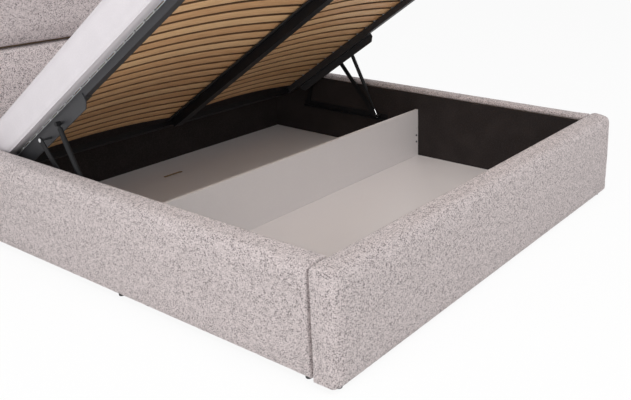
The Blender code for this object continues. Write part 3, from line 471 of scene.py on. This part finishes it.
def fine_speckle_group():
    """A fine grain with slow patches, for powder coat, moulded plastic, felt and laminated board."""
    tree, start, end = new_group(
        "Fine Speckle",
        {
            "Vector": ("Vector", None),
            "Scale": ("Float", 800.0),
            "Base": ("Color", (0.5, 0.5, 0.5, 1)),
            "Speck": ("Color", (0.6, 0.6, 0.6, 1)),
            "Amount": ("Float", 0.3),
            "Roughness": ("Float", 0.5),
        },
        {"Color": "Color", "Roughness": "Float", "Height": "Float"},
    )
    links = tree.links
    vector, amount = start.outputs["Vector"], start.outputs["Amount"]
    grain = noise_value(tree, vector, start.outputs["Scale"], detail=3.0, roughness=0.65)
    patch = noise_value(tree, vector, PATCH_SCALE, detail=3.0)
    specks = calculate(tree, "MULTIPLY", reach(tree, grain, 0.42, 0.66), amount)
    patches = reach(tree, patch, 0.35, 0.7)
    clouds = calculate(tree, "MULTIPLY", patches, calculate(tree, "MULTIPLY", amount, PATCH_SHARE))
    both = calculate(tree, "ADD", specks, clouds)
    links.new(blend_colour(tree, both, start.outputs["Base"], start.outputs["Speck"]), end.inputs["Color"])
    spread = calculate(tree, "MULTIPLY", calculate(tree, "SUBTRACT", patch, 0.5), ROUGHNESS_SPREAD)
    links.new(calculate(tree, "ADD", start.outputs["Roughness"], spread), end.inputs["Roughness"])
    links.new(grain, end.inputs["Height"])
    return tree


GROUP_MAKERS = {
    "Woolly Loops": woolly_loops_group,
    "Wood Grain": wood_grain_group,
    "Fine Speckle": fine_speckle_group,
}
GROUPS = {}


def group(name):
    """A shader group by its name, built when it is first needed."""
    if name not in GROUPS:
        GROUPS[name] = GROUP_MAKERS[name]()
    return GROUPS[name]


def rgba(colour):
    return (*colour, 1.0)


def group_material(name, group_name, values, bump, sheen=0.0, metallic=0.0, roughness=0.5, gloss=0.5):
    """A material whose Principled shader is fed by one group on Object coordinates."""
    material = bpy.data.materials.new(name)
    material.use_nodes = True
    tree = material.node_tree
    shader = tree.nodes["Principled BSDF"]
    shader.inputs["Roughness"].default_value = roughness
    shader.inputs["Metallic"].default_value = metallic
    shader.inputs["Sheen Weight"].default_value = sheen
    shader.inputs["Specular IOR Level"].default_value = gloss
    place = tree.nodes.new("ShaderNodeTexCoord")
    pattern = tree.nodes.new("ShaderNodeGroup")
    pattern.node_tree = group(group_name)
    for socket, value in values.items():
        pattern.inputs[socket].default_value = value
    tree.links.new(place.outputs["Object"], pattern.inputs["Vector"])
    tree.links.new(pattern.outputs["Color"], shader.inputs["Base Color"])
    if "Roughness" in pattern.outputs:
        tree.links.new(pattern.outputs["Roughness"], shader.inputs["Roughness"])
    relief = tree.nodes.new("ShaderNodeBump")
    relief.inputs["Strength"].default_value, relief.inputs["Distance"].default_value = bump
    tree.links.new(pattern.outputs["Height"], relief.inputs["Height"])
    tree.links.new(relief.outputs["Normal"], shader.inputs["Normal"])
    return material


def speckled_material(name):
    base, speck, scale, amount, roughness, bump = SPECKLED_FINISHES[name]
    if isinstance(base, str):
        base = getattr(colours(), base)
    values = {
        "Base": rgba(base),
        "Speck": rgba(speck),
        "Scale": scale,
        "Amount": amount,
        "Roughness": roughness,
    }
    return group_material(name, "Fine Speckle", values, bump, **SPECKLED_SHADERS.get(name, {}))


def grained_material(name):
    pale, dark, bump = GRAINED_FINISHES[name]
    return group_material(name, "Wood Grain", {"Pale": rgba(pale), "Dark": rgba(dark)}, bump)


def wool_material():
    paint = colours()
    values = {
        "Scale": 1 / sizes().loop_size,
        "Pale": rgba(paint.wool_pale),
        "Middle": rgba(paint.wool_mid),
        "Fleck": rgba(paint.wool_fleck),
    }
    bump = (0.85, sizes().loop_height)
    return group_material("woolly_cloth", "Woolly Loops", values, bump=bump, sheen=0.15, roughness=0.95)


def slat_material():
    """Lacquered slats; each slat's own tone comes from an attribute on its faces."""
    paint = colours()
    values = {"Pale": rgba(paint.slat_pale), "Dark": rgba(paint.slat_dark)}
    material = group_material("slat_wood", "Wood Grain", values, bump=(0.15, 0.0004))
    tree = material.node_tree
    tone = add(tree, "Attribute", attribute_name="slat_tone")
    pattern = next(node for node in tree.nodes if node.type == "GROUP")
    tree.links.new(tone.outputs["Fac"], pattern.inputs["Tone"])
    tree.nodes["Principled BSDF"].inputs["Coat Weight"].default_value = 0.06
    return material


def make_finish(name):
    if name == "woolly_cloth":
        return wool_material()
    if name == "slat_wood":
        return slat_material()
    if name in GRAINED_FINISHES:
        return grained_material(name)
    return speckled_material(name)


FINISHES = {}


def finish(name):
    """A material by its finish's name, made when it is first needed."""
    if name not in FINISHES:
        FINISHES[name] = make_finish(name)
    return FINISHES[name]


# Making and placing pieces


def new_object(name, data):
    """An object at the origin, in the scene."""
    made = bpy.data.objects.new(name, data)
    bpy.context.scene.collection.objects.link(made)
    return made


def coat(mesh, material):
    """Gives a whole mesh one finish."""
    mesh.materials.clear()
    mesh.materials.append(finish(material))


def place_piece(name, mesh, body, material, replaced=()):
    """A finished piece: an object at the origin, its place in its mesh, riding on one body."""
    piece = new_object(name, mesh)
    coat(mesh, material)
    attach(piece, body)
    if replaced:
        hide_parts(*replaced)
    return piece


def mesh_from(bm, name, transform=None):
    if transform is not None:
        bmesh.ops.transform(bm, matrix=transform, verts=bm.verts)
    mesh = bpy.data.meshes.new(name)
    bm.to_mesh(mesh)
    bm.free()
    mesh.shade_smooth()
    mesh.set_sharp_from_angle(angle=SMOOTH_ANGLE)
    return mesh


def merged_copy(node):
    """A bmesh of a frame node with its loose triangles merged."""
    bm = bmesh.new()
    bm.from_mesh(frame["nodes"][node].data)
    bmesh.ops.remove_doubles(bm, verts=bm.verts, dist=MERGE)
    return bm


def bevel_edges(bm, edges, width, segments=2):
    bmesh.ops.bevel(
        bm,
        geom=edges,
        offset=width,
        offset_type="OFFSET",
        segments=segments,
        profile=0.5,
        affect="EDGES",
        clamp_overlap=True,
        material=-1,
    )


def sharp_edges(bm):
    return [edge for edge in bm.edges if len(edge.link_faces) == 2 and edge.calc_face_angle(0) > EDGE_ANGLE]


def body_of(node):
    return next(name for name, nodes in frame["record"]["behaviour"]["bodies"].items() if node in nodes)


def soften_node(node, material, width, cut=None):
    """A frame node's own shape with its sharp edges softened and a detailed finish.

    The cut, a place and a direction, divides its faces where a second finish starts.
    """
    bm = merged_copy(node)
    bmesh.ops.dissolve_limit(bm, angle_limit=FLAT_ANGLE, verts=bm.verts, edges=bm.edges)
    bevel_edges(bm, sharp_edges(bm), width)
    if cut:
        whole = bm.verts[:] + bm.edges[:] + bm.faces[:]
        bmesh.ops.bisect_plane(bm, geom=whole, plane_co=cut[0], plane_no=cut[1])
    bmesh.ops.triangulate(bm, faces=[face for face in bm.faces if len(face.verts) > 4])
    name = f"{node}_finished"
    piece = place_piece(name, mesh_from(bm, name), body_of(node), material, (node,))
    even = piece.modifiers.new("even shading", "WEIGHTED_NORMAL")
    even.keep_sharp = True
    return settled(piece)


def finish_faces(piece, material, chosen):
    """Gives a second finish to the faces that a test on the face's middle and normal picks."""
    piece.data.materials.append(finish(material))
    for face in piece.data.polygons:
        if chosen(face.center, face.normal):
            face.material_index = len(piece.data.materials) - 1


def settled(piece):
    """Makes a piece's modifiers permanent."""
    bpy.context.view_layer.update()
    view = bpy.context.evaluated_depsgraph_get()
    mesh = bpy.data.meshes.new_from_object(piece.evaluated_get(view))
    old = piece.data
    piece.modifiers.clear()
    piece.data = mesh
    bpy.data.meshes.remove(old)
    return piece


def work_object(name, bm):
    mesh = bpy.data.meshes.new(name)
    bm.to_mesh(mesh)
    bm.free()
    return new_object(name, mesh)


def even_skin(name, bm, voxel):
    """An evenly meshed copy of a closed form, for filling and for fine relief."""
    piece = work_object(name, bm)
    remesh = piece.modifiers.new("even skin", "REMESH")
    remesh.mode = "VOXEL"
    remesh.voxel_size = voxel
    return settled(piece)


def fill_pad(piece, freedom, swell):
    """Swells a pad with cloth pressure: each vertex may move by its freedom, 0 to 1, times the swell."""
    mesh = piece.data
    rest = [vert.co.copy() for vert in mesh.vertices]
    free = [freedom(place) for place in rest]
    held = piece.vertex_groups.new(name="held")
    for index, share in enumerate(free):
        if share < 1:
            held.add([index], 1 - share, "REPLACE")
    cloth = piece.modifiers.new("filling", "CLOTH")
    for setting, value in CLOTH_SETTINGS.items():
        setattr(cloth.settings, setting, value)
    cloth.settings.vertex_group_mass = "held"
    cloth.settings.effector_weights.gravity = 0
    cloth.point_cache.frame_end = FILL_FRAMES
    for step in range(1, FILL_FRAMES + 1):
        bpy.context.scene.frame_set(step)
    view = bpy.context.evaluated_depsgraph_get()
    filled = [vert.co.copy() for vert in piece.evaluated_get(view).data.vertices]
    piece.modifiers.clear()
    piece.vertex_groups.clear()
    bpy.context.scene.frame_set(1)
    for vert, start, goal, share in zip(mesh.vertices, rest, filled, free):
        move = goal - start
        limit = swell * share
        if move.length > limit:
            move = move * (limit / move.length)
        vert.co = start + move


def refine(piece):
    """Relaxes an even skin and divides it once."""
    relax = piece.modifiers.new("relax", "SMOOTH")
    relax.factor = RELAX_SHARE
    relax.iterations = RELAX_TIMES
    finer = piece.modifiers.new("finer", "SUBSURF")
    finer.levels = finer.render_levels = 1
    settled(piece)


def raise_loops(mesh, size, height):
    """Real relief under the fine bump: a lumpy skin, moved along its normals."""
    moves = []
    for vert in mesh.vertices:
        place = vert.co / size
        lumps = noise.noise(place) + FINE_LUMP_SHARE * noise.noise(place * FINE_LUMPS)
        moves.append(vert.normal * (lumps * height))
    for vert, move in zip(mesh.vertices, moves):
        vert.co += move
    mesh.shade_smooth()


def rounded_reach(turn, wide, tight):
    """How far a tightly rounded corner lies from a wide rounding's centre, in the direction of a turn."""
    across, up = math.cos(turn), math.sin(turn)
    flat = wide / max(across, up)
    if wide - flat * min(across, up) >= tight:
        return flat
    inset = wide - tight
    along = inset * (across + up)
    return along + math.sqrt(max(along**2 - 2 * inset**2 + tight**2, 0.0))


def tighten_edge(piece, end, out, step_axis, wide):
    """Draws the skin out into the edge between the faces that look along end and along out.

    The even skin leaves the edge widely rounded. The out face may swell, so its level is read a little way in
    from the edge, at each step along the edge's own axis.
    """
    verts = piece.data.vertices
    end, out = Vector(end), Vector(out)
    top = max(vert.co.dot(end) for vert in verts)
    level = {}
    for vert in verts:
        depth = top - vert.co.dot(end)
        if wide < depth < wide + 2 * LINE_STEP:
            step = round(vert.co[step_axis] / LINE_STEP)
            level[step] = max(level.get(step, -math.inf), vert.co.dot(out))
    for vert in verts:
        step = round(vert.co[step_axis] / LINE_STEP)
        depth = top - vert.co.dot(end)
        sunk = level.get(step, -math.inf) - vert.co.dot(out)
        if depth >= wide or not -TIGHT_ROUND < sunk < wide:
            continue
        in_end, in_out = wide - depth, wide - max(sunk, 0.0)
        stretch = rounded_reach(math.atan2(in_out, in_end), wide, TIGHT_ROUND) / wide
        vert.co += end * in_end * (stretch - 1) + out * in_out * (stretch - 1)


def open_seam(piece, end, out):
    """Draws the skin back from its end face near the out face, where a seam shows as a narrow groove."""
    end, out = Vector(end), Vector(out)
    verts = piece.data.vertices
    end_top = max(vert.co.dot(end) for vert in verts)
    out_top = max(vert.co.dot(out) for vert in verts)
    for vert in verts:
        near_end = 1 - fade(end_top - vert.co.dot(end), SEAM_RUN)
        near_face = 1 - fade(out_top - vert.co.dot(out), SEAM_DEPTH)
        vert.co -= end * (SEAM_WIDTH * near_end * near_face)


def upholster(node, name, voxel, freedom, swell, edges=(), seams=()):
    """A padded, woolly piece that stands for a frame node, with its tight edges and its open seams."""
    piece = even_skin(name, merged_copy(node), voxel)
    fill_pad(piece, freedom, swell)
    refine(piece)
    for edge in edges:
        tighten_edge(piece, *edge)
    for seam in seams:
        open_seam(piece, *seam)
    raise_loops(piece.data, LUMP_SIZE, sizes().loop_height * LUMP_SHARE)
    coat(piece.data, "woolly_cloth")
    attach(piece, body_of(node))
    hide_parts(node)


def add_stud(bm, place, direction, radius, height):
    """A low round head with a softened rim, standing on a place."""
    size = {"radius1": radius, "radius2": radius, "depth": height}
    made = bmesh.ops.create_cone(bm, cap_ends=True, segments=STUD_SIDES, **size)["verts"]
    top = [vert for vert in made if vert.co.z > 0]
    rim = {edge for vert in top for edge in vert.link_edges if edge.other_vert(vert).co.z > 0}
    turn = Vector(direction).to_track_quat("Z", "Y").to_matrix().to_4x4()
    spot = Matrix.Translation(Vector(place) + Vector(direction) * height / 2) @ turn
    bmesh.ops.transform(bm, matrix=spot, verts=made)
    bevel_edges(bm, list(rim), height * STUD_ROUND_SHARE, STUD_ROUND_CUTS)


def fade(value, depth):
    """0 at a face that is held, rising to 1 at a depth from it."""
    return max(0.0, min(1.0, value / depth))


class BED_OT_cover_walls(bpy.types.Operator):
    """Upholsters both side rails and the footboard"""

    bl_idname = "bed.cover_walls"
    bl_label = "Cover the walls"

    def execute(self, context):
        for side, sign in SIDES.items():
            node = f"side_rail_cover_{side}"
            low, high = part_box(node)
            outer = max(abs(low.x), abs(high.x))
            inner = min(abs(low.x), abs(high.x))

            def freedom(place, low=low, high=high, outer=outer, inner=inner):
                ends = min(place.y - low.y, high.y - place.y)
                across = fade(abs(place.x) - inner, (outer - inner) / 2)
                bottom = fade(place.z - low.z - HIDDEN_DEPTH, FREE_RUN)
                return fade(ends - HIDDEN_DEPTH, FREE_RUN) * bottom * across

            outwards = (sign, 0, 0)
            edges = (
                (FOOT, outwards, Z, WIDE_ROUND),
                (FOOT, UP, X, WIDE_ROUND),
                (DOWN, outwards, Y, SKIN_ROUND),
            )
            seams = [(FOOT, outwards)]
            upholster(node, f"side_rail_upholstery_{side}", RAIL_VOXEL, freedom, COVER_SWELL, edges, seams)
        node = "footboard_cover"
        low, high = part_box(node)

        def foot_freedom(place):
            depth = fade(high.y - place.y - HIDDEN_DEPTH, (high.y - low.y) / 2)
            return depth * fade(place.z - low.z - HIDDEN_DEPTH, FREE_RUN)

        ends = [(sign, 0, 0) for sign in SIDES.values()]
        edges = [(DOWN, FOOT, X, SKIN_ROUND)]
        for end in ends:
            edges += [(end, UP, Y, WIDE_ROUND), (HEAD, end, Z, SKIN_ROUND), (DOWN, end, Y, SKIN_ROUND)]
        seams = [(HEAD, end) for end in ends]
        upholster(node, "footboard_upholstery", RAIL_VOXEL, foot_freedom, COVER_SWELL, edges, seams)
        return {"FINISHED"}


class BED_OT_pad_headboard(bpy.types.Operator):
    """Upholsters the two cushions of the headboard"""

    bl_idname = "bed.pad_headboard"
    bl_label = "Pad the headboard"

    def execute(self, context):
        rail_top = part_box("side_rail_cover_left")[1].z
        for part in ("lower", "upper"):
            node = f"headboard_cushion_{part}"
            low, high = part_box(node)

            def freedom(place, low=low, high=high):
                back = fade(high.y - place.y - HIDDEN_DEPTH, CUSHION_RUN)
                if abs(place.x) > CAD_BOX[1].x - CUSHION_END:
                    return back
                return back * fade(place.z - rail_top, RAIL_TOP_RUN)

            upholster(node, f"headboard_upholstery_{part}", CUSHION_VOXEL, freedom, CUSHION_SWELL)
        return {"FINISHED"}


def shut_box(node):
    """A base node's corners as they lie when the bed is shut."""
    back = RAISE.inverted()
    points = [back @ vert.co for vert in frame["nodes"][node].data.vertices]
    low = Vector([min(point[axis] for point in points) for axis in range(3)])
    high = Vector([max(point[axis] for point in points) for axis in range(3)])
    return low, high


def slat_places():
    """Each slat's middle along the bed, and the height of the tubes' tops, bed shut."""
    low, high = shut_box("slat_row_left")
    first = low.y + SLAT_WIDTH / 2
    return [first + SLAT_PITCH * i for i in range(SLAT_COUNT)], low.z


class BED_OT_lay_slats(bpy.types.Operator):
    """Lays the bowed slats and their end caps"""

    bl_idname = "bed.lay_slats"
    bl_label = "Lay the slats"

    def execute(self, context):
        chance = random.Random(27)
        places, bottom = slat_places()
        for side, sign in SIDES.items():
            low, high = shut_box(f"slat_row_{side}")
            inner, outer = sorted((abs(low.x), abs(high.x)))
            one_slat = self.bowed_slat(sign, inner, outer, bottom)
            slats, caps = bmesh.new(), bmesh.new()
            tone = slats.faces.layers.float.new("slat_tone")
            for y in places:
                value = chance.random()
                verts_before, faces_before = len(slats.verts), len(slats.faces)
                slats.from_mesh(one_slat)
                slats.verts.ensure_lookup_table()
                slats.faces.ensure_lookup_table()
                bmesh.ops.translate(slats, vec=(0, y, 0), verts=slats.verts[verts_before:])
                for face in slats.faces[faces_before:]:
                    face[tone] = value
                self.add_cap(caps, sign * (outer - CAP_LENGTH / 2), y, bottom)
            bpy.data.meshes.remove(one_slat)
            name = f"slats_{side}"
            mesh = mesh_from(slats, name, transform=RAISE)
            row = place_piece(name, mesh, "slatted_base", "slat_wood", (f"slat_row_{side}",))
            along = RAISE.to_3x3() @ Vector(HEAD)
            # darker side faces: painted shade in the gaps between the slats, with the laminated edges' tone
            finish_faces(row, "slat_edge", lambda place, normal: abs(normal.dot(along)) > SLAT_EDGE_FACING)
            name = f"slat_caps_{side}"
            mesh = mesh_from(caps, name, transform=RAISE)
            place_piece(name, mesh, "slatted_base", "pale_plastic")
        return {"FINISHED"}

    def bowed_slat(self, sign, inner, outer, bottom):
        """A slat across one half of the base, with softened edges, sprung upwards in its middle."""
        bm = bmesh.new()
        length = outer - inner
        bmesh.ops.create_cube(bm, size=1.0)
        bmesh.ops.scale(bm, vec=(length, SLAT_WIDTH, SLAT_THICKNESS), verts=bm.verts)
        bevel_edges(bm, list(bm.edges), SLAT_EDGE)
        for i in range(1, SLAT_CUTS + 1):
            bmesh.ops.bisect_plane(
                bm,
                geom=bm.verts[:] + bm.edges[:] + bm.faces[:],
                plane_co=(length * (i / (SLAT_CUTS + 1) - 0.5), 0, 0),
                plane_no=(1, 0, 0),
            )
        for vert in bm.verts:
            share = vert.co.x / length + 0.5
            vert.co.z += 4 * SLAT_BOW * share * (1 - share) + bottom + SLAT_THICKNESS / 2
            vert.co.x = sign * (inner + length * share)
        bmesh.ops.recalc_face_normals(bm, faces=bm.faces)
        mesh = bpy.data.meshes.new("slat")
        bm.to_mesh(mesh)
        bm.free()
        return mesh

    def add_cap(self, bm, x, y, bottom):
        size = (CAP_LENGTH, SLAT_WIDTH + 2 * CAP_WALL, SLAT_THICKNESS + CAP_WALL)
        made = bmesh.ops.create_cube(bm, size=1.0)["verts"]
        bmesh.ops.scale(bm, vec=size, verts=made)
        middle = (x, y, bottom + size[2] / 2)
        bmesh.ops.translate(bm, vec=middle, verts=made)
        edges = list({edge for vert in made for edge in vert.link_edges})
        bevel_edges(bm, edges, CAP_EDGE)


class BED_OT_make_mattress(bpy.types.Operator):
    """Makes the mattress with its cloth, filling and piping"""

    bl_idname = "bed.make_mattress"
    bl_label = "Make the mattress"

    def execute(self, context):
        bm = merged_copy("mattress")
        bmesh.ops.transform(bm, matrix=RAISE.inverted(), verts=bm.verts)
        low, high = shut_box("mattress")
        piece = even_skin("mattress_body", bm, MATTRESS_VOXEL)
        middle = (low.z + high.z) / 2
        fill_pad(piece, lambda place: fade(place.z - low.z - MATTRESS_HELD, FREE_RUN), MATTRESS_SWELL)
        refine(piece)
        verts = piece.data.vertices
        sinks = [self.quilting(vert.co, vert.normal) if vert.co.z > middle else 0.0 for vert in verts]
        for vert, sink in zip(verts, sinks):
            vert.co.z -= sink
        piece.data.shade_smooth()
        coat(piece.data, "ticking")
        tube_face = max(abs(corner.x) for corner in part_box("base_side_tube_left"))

        # the dark underside between the tubes is painted shade seen through the gaps between the slats, on a
        # non-slip cloth
        def underneath(place, normal):
            return normal.z < -UNDERSIDE_FACING and place.z < middle and abs(place.x) < tube_face

        finish_faces(piece, "dark_underside", underneath)
        for name, height in (("top", high.z - PIPING_INSET), ("bottom", low.z + PIPING_INSET)):
            self.sew_piping(f"mattress_piping_{name}", piece, low, high, height)
        piece.data.transform(RAISE)
        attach(piece, "slatted_base")
        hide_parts("mattress")
        return {"FINISHED"}

    def sew_piping(self, name, body, low, high, height):
        """A cord of cloth round the mattress, sewn on its filled surface."""
        bpy.context.view_layer.update()
        centre = Vector((0, (low.y + high.y) / 2, height))
        half = Vector(((high.x - low.x) / 2 - PIPING_INSET, (high.y - low.y) / 2 - PIPING_INSET))
        radius = MATTRESS_CORNER
        outline = []
        for quarter, (x, y) in enumerate(((1, 1), (-1, 1), (-1, -1), (1, -1))):
            for i in range(CORNER_POINTS + 1):
                turn = (quarter + i / CORNER_POINTS) * math.pi / 2
                corner = Vector((x * (half.x - radius), y * (half.y - radius), 0))
                outline.append(centre + corner + radius * Vector((math.cos(turn), math.sin(turn), 0)))
        curve = bpy.data.curves.new(name, "CURVE")
        curve.dimensions = "3D"
        curve.bevel_depth = sizes().piping
        curve.bevel_resolution = 2
        route = []
        for first, second in zip(outline, outline[1:] + outline[:1]):
            count = max(1, round((second - first).length / PIPING_STEP))
            route += [first.lerp(second, i / count) for i in range(count)]
        spline = curve.splines.new("POLY")
        spline.points.add(len(route) - 1)
        spline.use_cyclic_u = True
        for point, place in zip(spline.points, route):
            point.co = (*body.closest_point_on_mesh(place)[1], 1.0)
        cord = new_object(name, curve)
        bpy.context.view_layer.update()
        mesh = bpy.data.meshes.new_from_object(cord.evaluated_get(bpy.context.evaluated_depsgraph_get()))
        bpy.data.objects.remove(cord)
        mesh.transform(RAISE)
        mesh.shade_smooth()
        place_piece(name, mesh, "slatted_base", "ticking")

    def quilting(self, place, normal):
        """How deep the stitched waves across the top draw the cloth in."""
        if normal.z < TOP_FACING:
            return 0.0
        sway = WAVE_SWAY * math.sin(2 * math.pi * place.x / WAVE_LENGTH)
        wave = math.sin(2 * math.pi * (place.y + sway) / WAVE_PITCH)
        return STITCH_DEPTH * (1 - abs(wave)) ** STITCH_SHARPNESS


class BED_OT_finish_panels(bpy.types.Operator):
    """Finishes the boards, the floor, the divider and the linings"""

    bl_idname = "bed.finish_panels"
    bl_label = "Finish the panels"

    def execute(self, context):
        for material, nodes in PANEL_NODES.items():
            for node in nodes:
                panel = soften_node(node, material, BOARD_EDGE)
                if node == "headboard_board":
                    finish_faces(panel, "woolly_cloth", lambda place, normal: normal.y > -HALF_FACING)
                if node == "floor_panel_head":
                    # the finger slot's cut walls get the dark raw board: a raw cut edge, and painted shade that
                    # darkens the slot
                    finish_faces(panel, "raw_board", self.in_finger_slot)
        return {"FINISHED"}

    def in_finger_slot(self, place, normal):
        """Whether a face is a cut wall of the finger slot, whose dark raw board is both a raw cut edge and painted
        shade.
        """
        openings = frame["record"]["physics"]["openings"]
        low, high = next(opening["box_m"] for opening in openings if opening["name"] == "finger_slot")
        beside = all(low[axis] - SLOT_MARGIN < place[axis] < high[axis] + SLOT_MARGIN for axis in (X, Y))
        return beside and abs(normal.z) < HALF_FACING


class BED_OT_finish_steel(bpy.types.Operator):
    """Finishes the tubes, the lift and the glides"""

    bl_idname = "bed.finish_steel"
    bl_label = "Finish the steel"

    def execute(self, context):
        for material, nodes in STEEL_NODES.items():
            for node in nodes:
                soften_node(node, material, STEEL_EDGE)
        for side, sign in SIDES.items():
            link_face = max(abs(corner.x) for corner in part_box(f"front_link_{side}"))
            bracket = soften_node(f"lift_bracket_{side}", "grey_steel", STEEL_EDGE)
            finish_faces(bracket, "bright_steel", lambda place, normal: abs(place.x) > link_face)
            soften_node(f"gas_cylinder_{side}", "black_steel", STEEL_EDGE)
            self.finish_rod(side)
            self.screw_bolt(side, sign)
            self.cap_divider(side, sign)
        return {"FINISHED"}

    def screw_bolt(self, side, sign):
        """The bright bolt head on a gas spring's top eye."""
        foot = Vector(JOINTS[f"gas_rod_{side}_turn"]["pos_m"])
        upwards = -Vector(JOINTS[f"gas_cylinder_{side}_slide"]["axis"])
        verts = frame["nodes"][f"gas_cylinder_{side}"].data.vertices
        top = foot + upwards * (max((vert.co - foot).dot(upwards) for vert in verts) - EYE_RADIUS)
        bm = bmesh.new()
        add_stud(bm, top + Vector((sign * EYE_HALF, 0, 0)), (sign, 0, 0), sizes().bolt_head, BOLT_HEIGHT)
        mesh = mesh_from(bm, f"gas_spring_bolt_{side}")
        place_piece(f"gas_spring_bolt_{side}", mesh, f"gas_cylinder_{side}", "bright_steel")

    def cap_divider(self, side, sign):
        """Two dark caps, one above the other, at an end of the divider."""
        low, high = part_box("divider")
        bm = bmesh.new()
        for height_share in CAP_HEIGHT_SHARES:
            height = low.z + (high.z - low.z) * height_share
            place = (sign * (high.x - CAP_FROM_END), low.y, height)
            add_stud(bm, place, FOOT, SCREW_CAP_RADIUS, SCREW_CAP_HEIGHT)
        mesh = mesh_from(bm, f"divider_caps_{side}")
        place_piece(f"divider_caps_{side}", mesh, "bed_box", "black_plastic")

    def finish_rod(self, side):
        """A gas spring's rod: black, with a bright fitting at its foot."""
        foot = Vector(JOINTS[f"gas_rod_{side}_turn"]["pos_m"])
        upwards = -Vector(JOINTS[f"gas_cylinder_{side}_slide"]["axis"])
        limit = foot + upwards * sizes().rod_fitting
        rod = soften_node(f"gas_rod_{side}", "black_steel", STEEL_EDGE, cut=(limit, upwards))
        finish_faces(rod, "bright_steel", lambda place, normal: (place - limit).dot(upwards) < 0)


class BED_OT_set_stage(bpy.types.Operator):
    """Sets the floor, the light and the camera"""

    bl_idname = "bed.set_stage"
    bl_label = "Set the stage"

    def execute(self, context):
        self.lay_floor()
        self.light_world(context.scene)
        self.hang_lamp("key_lamp", *KEY_LAMP, studio().key_watts)
        self.hang_lamp("fill_lamp", *FILL_LAMP, studio().fill_watts)
        self.place_camera(context.scene)
        context.scene.view_settings.view_transform = "Standard"
        return {"FINISHED"}

    def camera_rays(self, tree):
        """1 where the camera looks, straight or by way of gloss or glass."""
        path = add(tree, "LightPath")
        seen = calculate(tree, "MAXIMUM", path.outputs["Is Camera Ray"], path.outputs["Is Glossy Ray"])
        return calculate(tree, "MAXIMUM", seen, path.outputs["Is Transmission Ray"])

    def lay_floor(self):
        bm = bmesh.new()
        bmesh.ops.create_grid(bm, x_segments=1, y_segments=1, size=FLOOR_REACH)
        mesh = bpy.data.meshes.new("studio_floor")
        bm.to_mesh(mesh)
        bm.free()
        material = bpy.data.materials.new("studio_floor")
        material.use_nodes = True
        tree = material.node_tree
        shader = tree.nodes["Principled BSDF"]
        shader.inputs["Base Color"].default_value = rgba(FLOOR_WHITE)
        shader.inputs["Roughness"].default_value = FLOOR_ROUGHNESS
        shader.inputs["Specular IOR Level"].default_value = 0.0
        glow = add(tree, "Emission", values={"Color": WHITE})
        mix = add(tree, "MixShader")
        share = calculate(tree, "MULTIPLY", self.camera_rays(tree), FLOOR_SHARE)
        tree.links.new(calculate(tree, "MULTIPLY", share, self.open_floor(tree)), mix.inputs["Fac"])
        tree.links.new(shader.outputs[0], mix.inputs[1])
        tree.links.new(glow.outputs[0], mix.inputs[2])
        tree.links.new(mix.outputs[0], tree.nodes["Material Output"].inputs["Surface"])
        mesh.materials.append(material)
        new_object("studio_floor", mesh)

    def open_floor(self, tree):
        """1 on the open floor and 0 under the bed."""
        spot = add(tree, "TexCoord")
        apart = add(tree, "SeparateXYZ")
        tree.links.new(spot.outputs["Object"], apart.inputs[0])
        beside = []
        for axis, half in (("X", CAD_BOX[1].x), ("Y", CAD_BOX[1].y)):
            away = calculate(tree, "ABSOLUTE", apart.outputs[axis])
            beside.append(calculate(tree, "GREATER_THAN", away, half - UNDER_EDGE))
        return calculate(tree, "MAXIMUM", *beside)

    def light_world(self, scene):
        world = bpy.data.worlds.new("studio")
        scene.world = world
        world.use_nodes = True
        tree = world.node_tree
        plain = tree.nodes["Background"]
        plain.inputs["Color"].default_value = WHITE
        plain.inputs["Strength"].default_value = studio().world_light
        seen = add(tree, "Background", values={"Color": WHITE, "Strength": 1.0})
        mix = add(tree, "MixShader")
        tree.links.new(self.camera_rays(tree), mix.inputs["Fac"])
        tree.links.new(plain.outputs[0], mix.inputs[1])
        tree.links.new(seen.outputs[0], mix.inputs[2])
        tree.links.new(mix.outputs[0], tree.nodes["World Output"].inputs["Surface"])

    def hang_lamp(self, name, place, target, size, watts):
        data = bpy.data.lights.new(name, "AREA")
        data.shape = "DISK"
        data.size = size
        data.energy = watts
        lamp = new_object(name, data)
        lamp.location = place
        lamp.rotation_euler = (Vector(target) - Vector(place)).to_track_quat("-Z", "Y").to_euler()

    def place_camera(self, scene):
        data = bpy.data.cameras.new("studio_camera")
        data.lens = CAMERA_LENS
        data.shift_x, data.shift_y = CAMERA_SHIFT
        camera = new_object("studio_camera", data)
        camera.location = CAMERA_PLACE
        camera.rotation_euler = (math.pi / 2 - CAMERA_PITCH, 0, -CAMERA_YAW)
        scene.camera = camera


OPERATORS = (
    BED_OT_set_stage,
    BED_OT_cover_walls,
    BED_OT_pad_headboard,
    BED_OT_lay_slats,
    BED_OT_make_mattress,
    BED_OT_finish_panels,
    BED_OT_finish_steel,
)


class BED_PT_dresser(bpy.types.Panel):
    """Lists the steps that dress the bed"""

    bl_idname = "BED_PT_dresser"
    bl_label = "Storage Bed"
    bl_space_type = "VIEW_3D"
    bl_region_type = "UI"
    bl_category = "Storage Bed"

    def draw(self, context):
        for step in OPERATORS:
            self.layout.operator(step.bl_idname)
        for settings in (context.scene.bed_colours, context.scene.bed_sizes, context.scene.bed_studio):
            box = self.layout.box()
            for key in settings.bl_rna.properties.keys():
                if key not in ("rna_type", "name"):
                    box.prop(settings, key)


SETTINGS = {"bed_colours": BedColours, "bed_sizes": BedSizes, "bed_studio": BedStudio}


def register():
    for cls in (*SETTINGS.values(), *OPERATORS, BED_PT_dresser):
        bpy.utils.register_class(cls)
    for name, cls in SETTINGS.items():
        setattr(bpy.types.Scene, name, bpy.props.PointerProperty(type=cls))


def unregister():
    for name in SETTINGS:
        delattr(bpy.types.Scene, name)
    for cls in reversed((*SETTINGS.values(), *OPERATORS, BED_PT_dresser)):
        bpy.utils.unregister_class(cls)


def main():
    register()
    for step in OPERATORS:
        area, action = step.bl_idname.split(".")
        getattr(getattr(bpy.ops, area), action)()


if __name__ == "__main__":
    main()
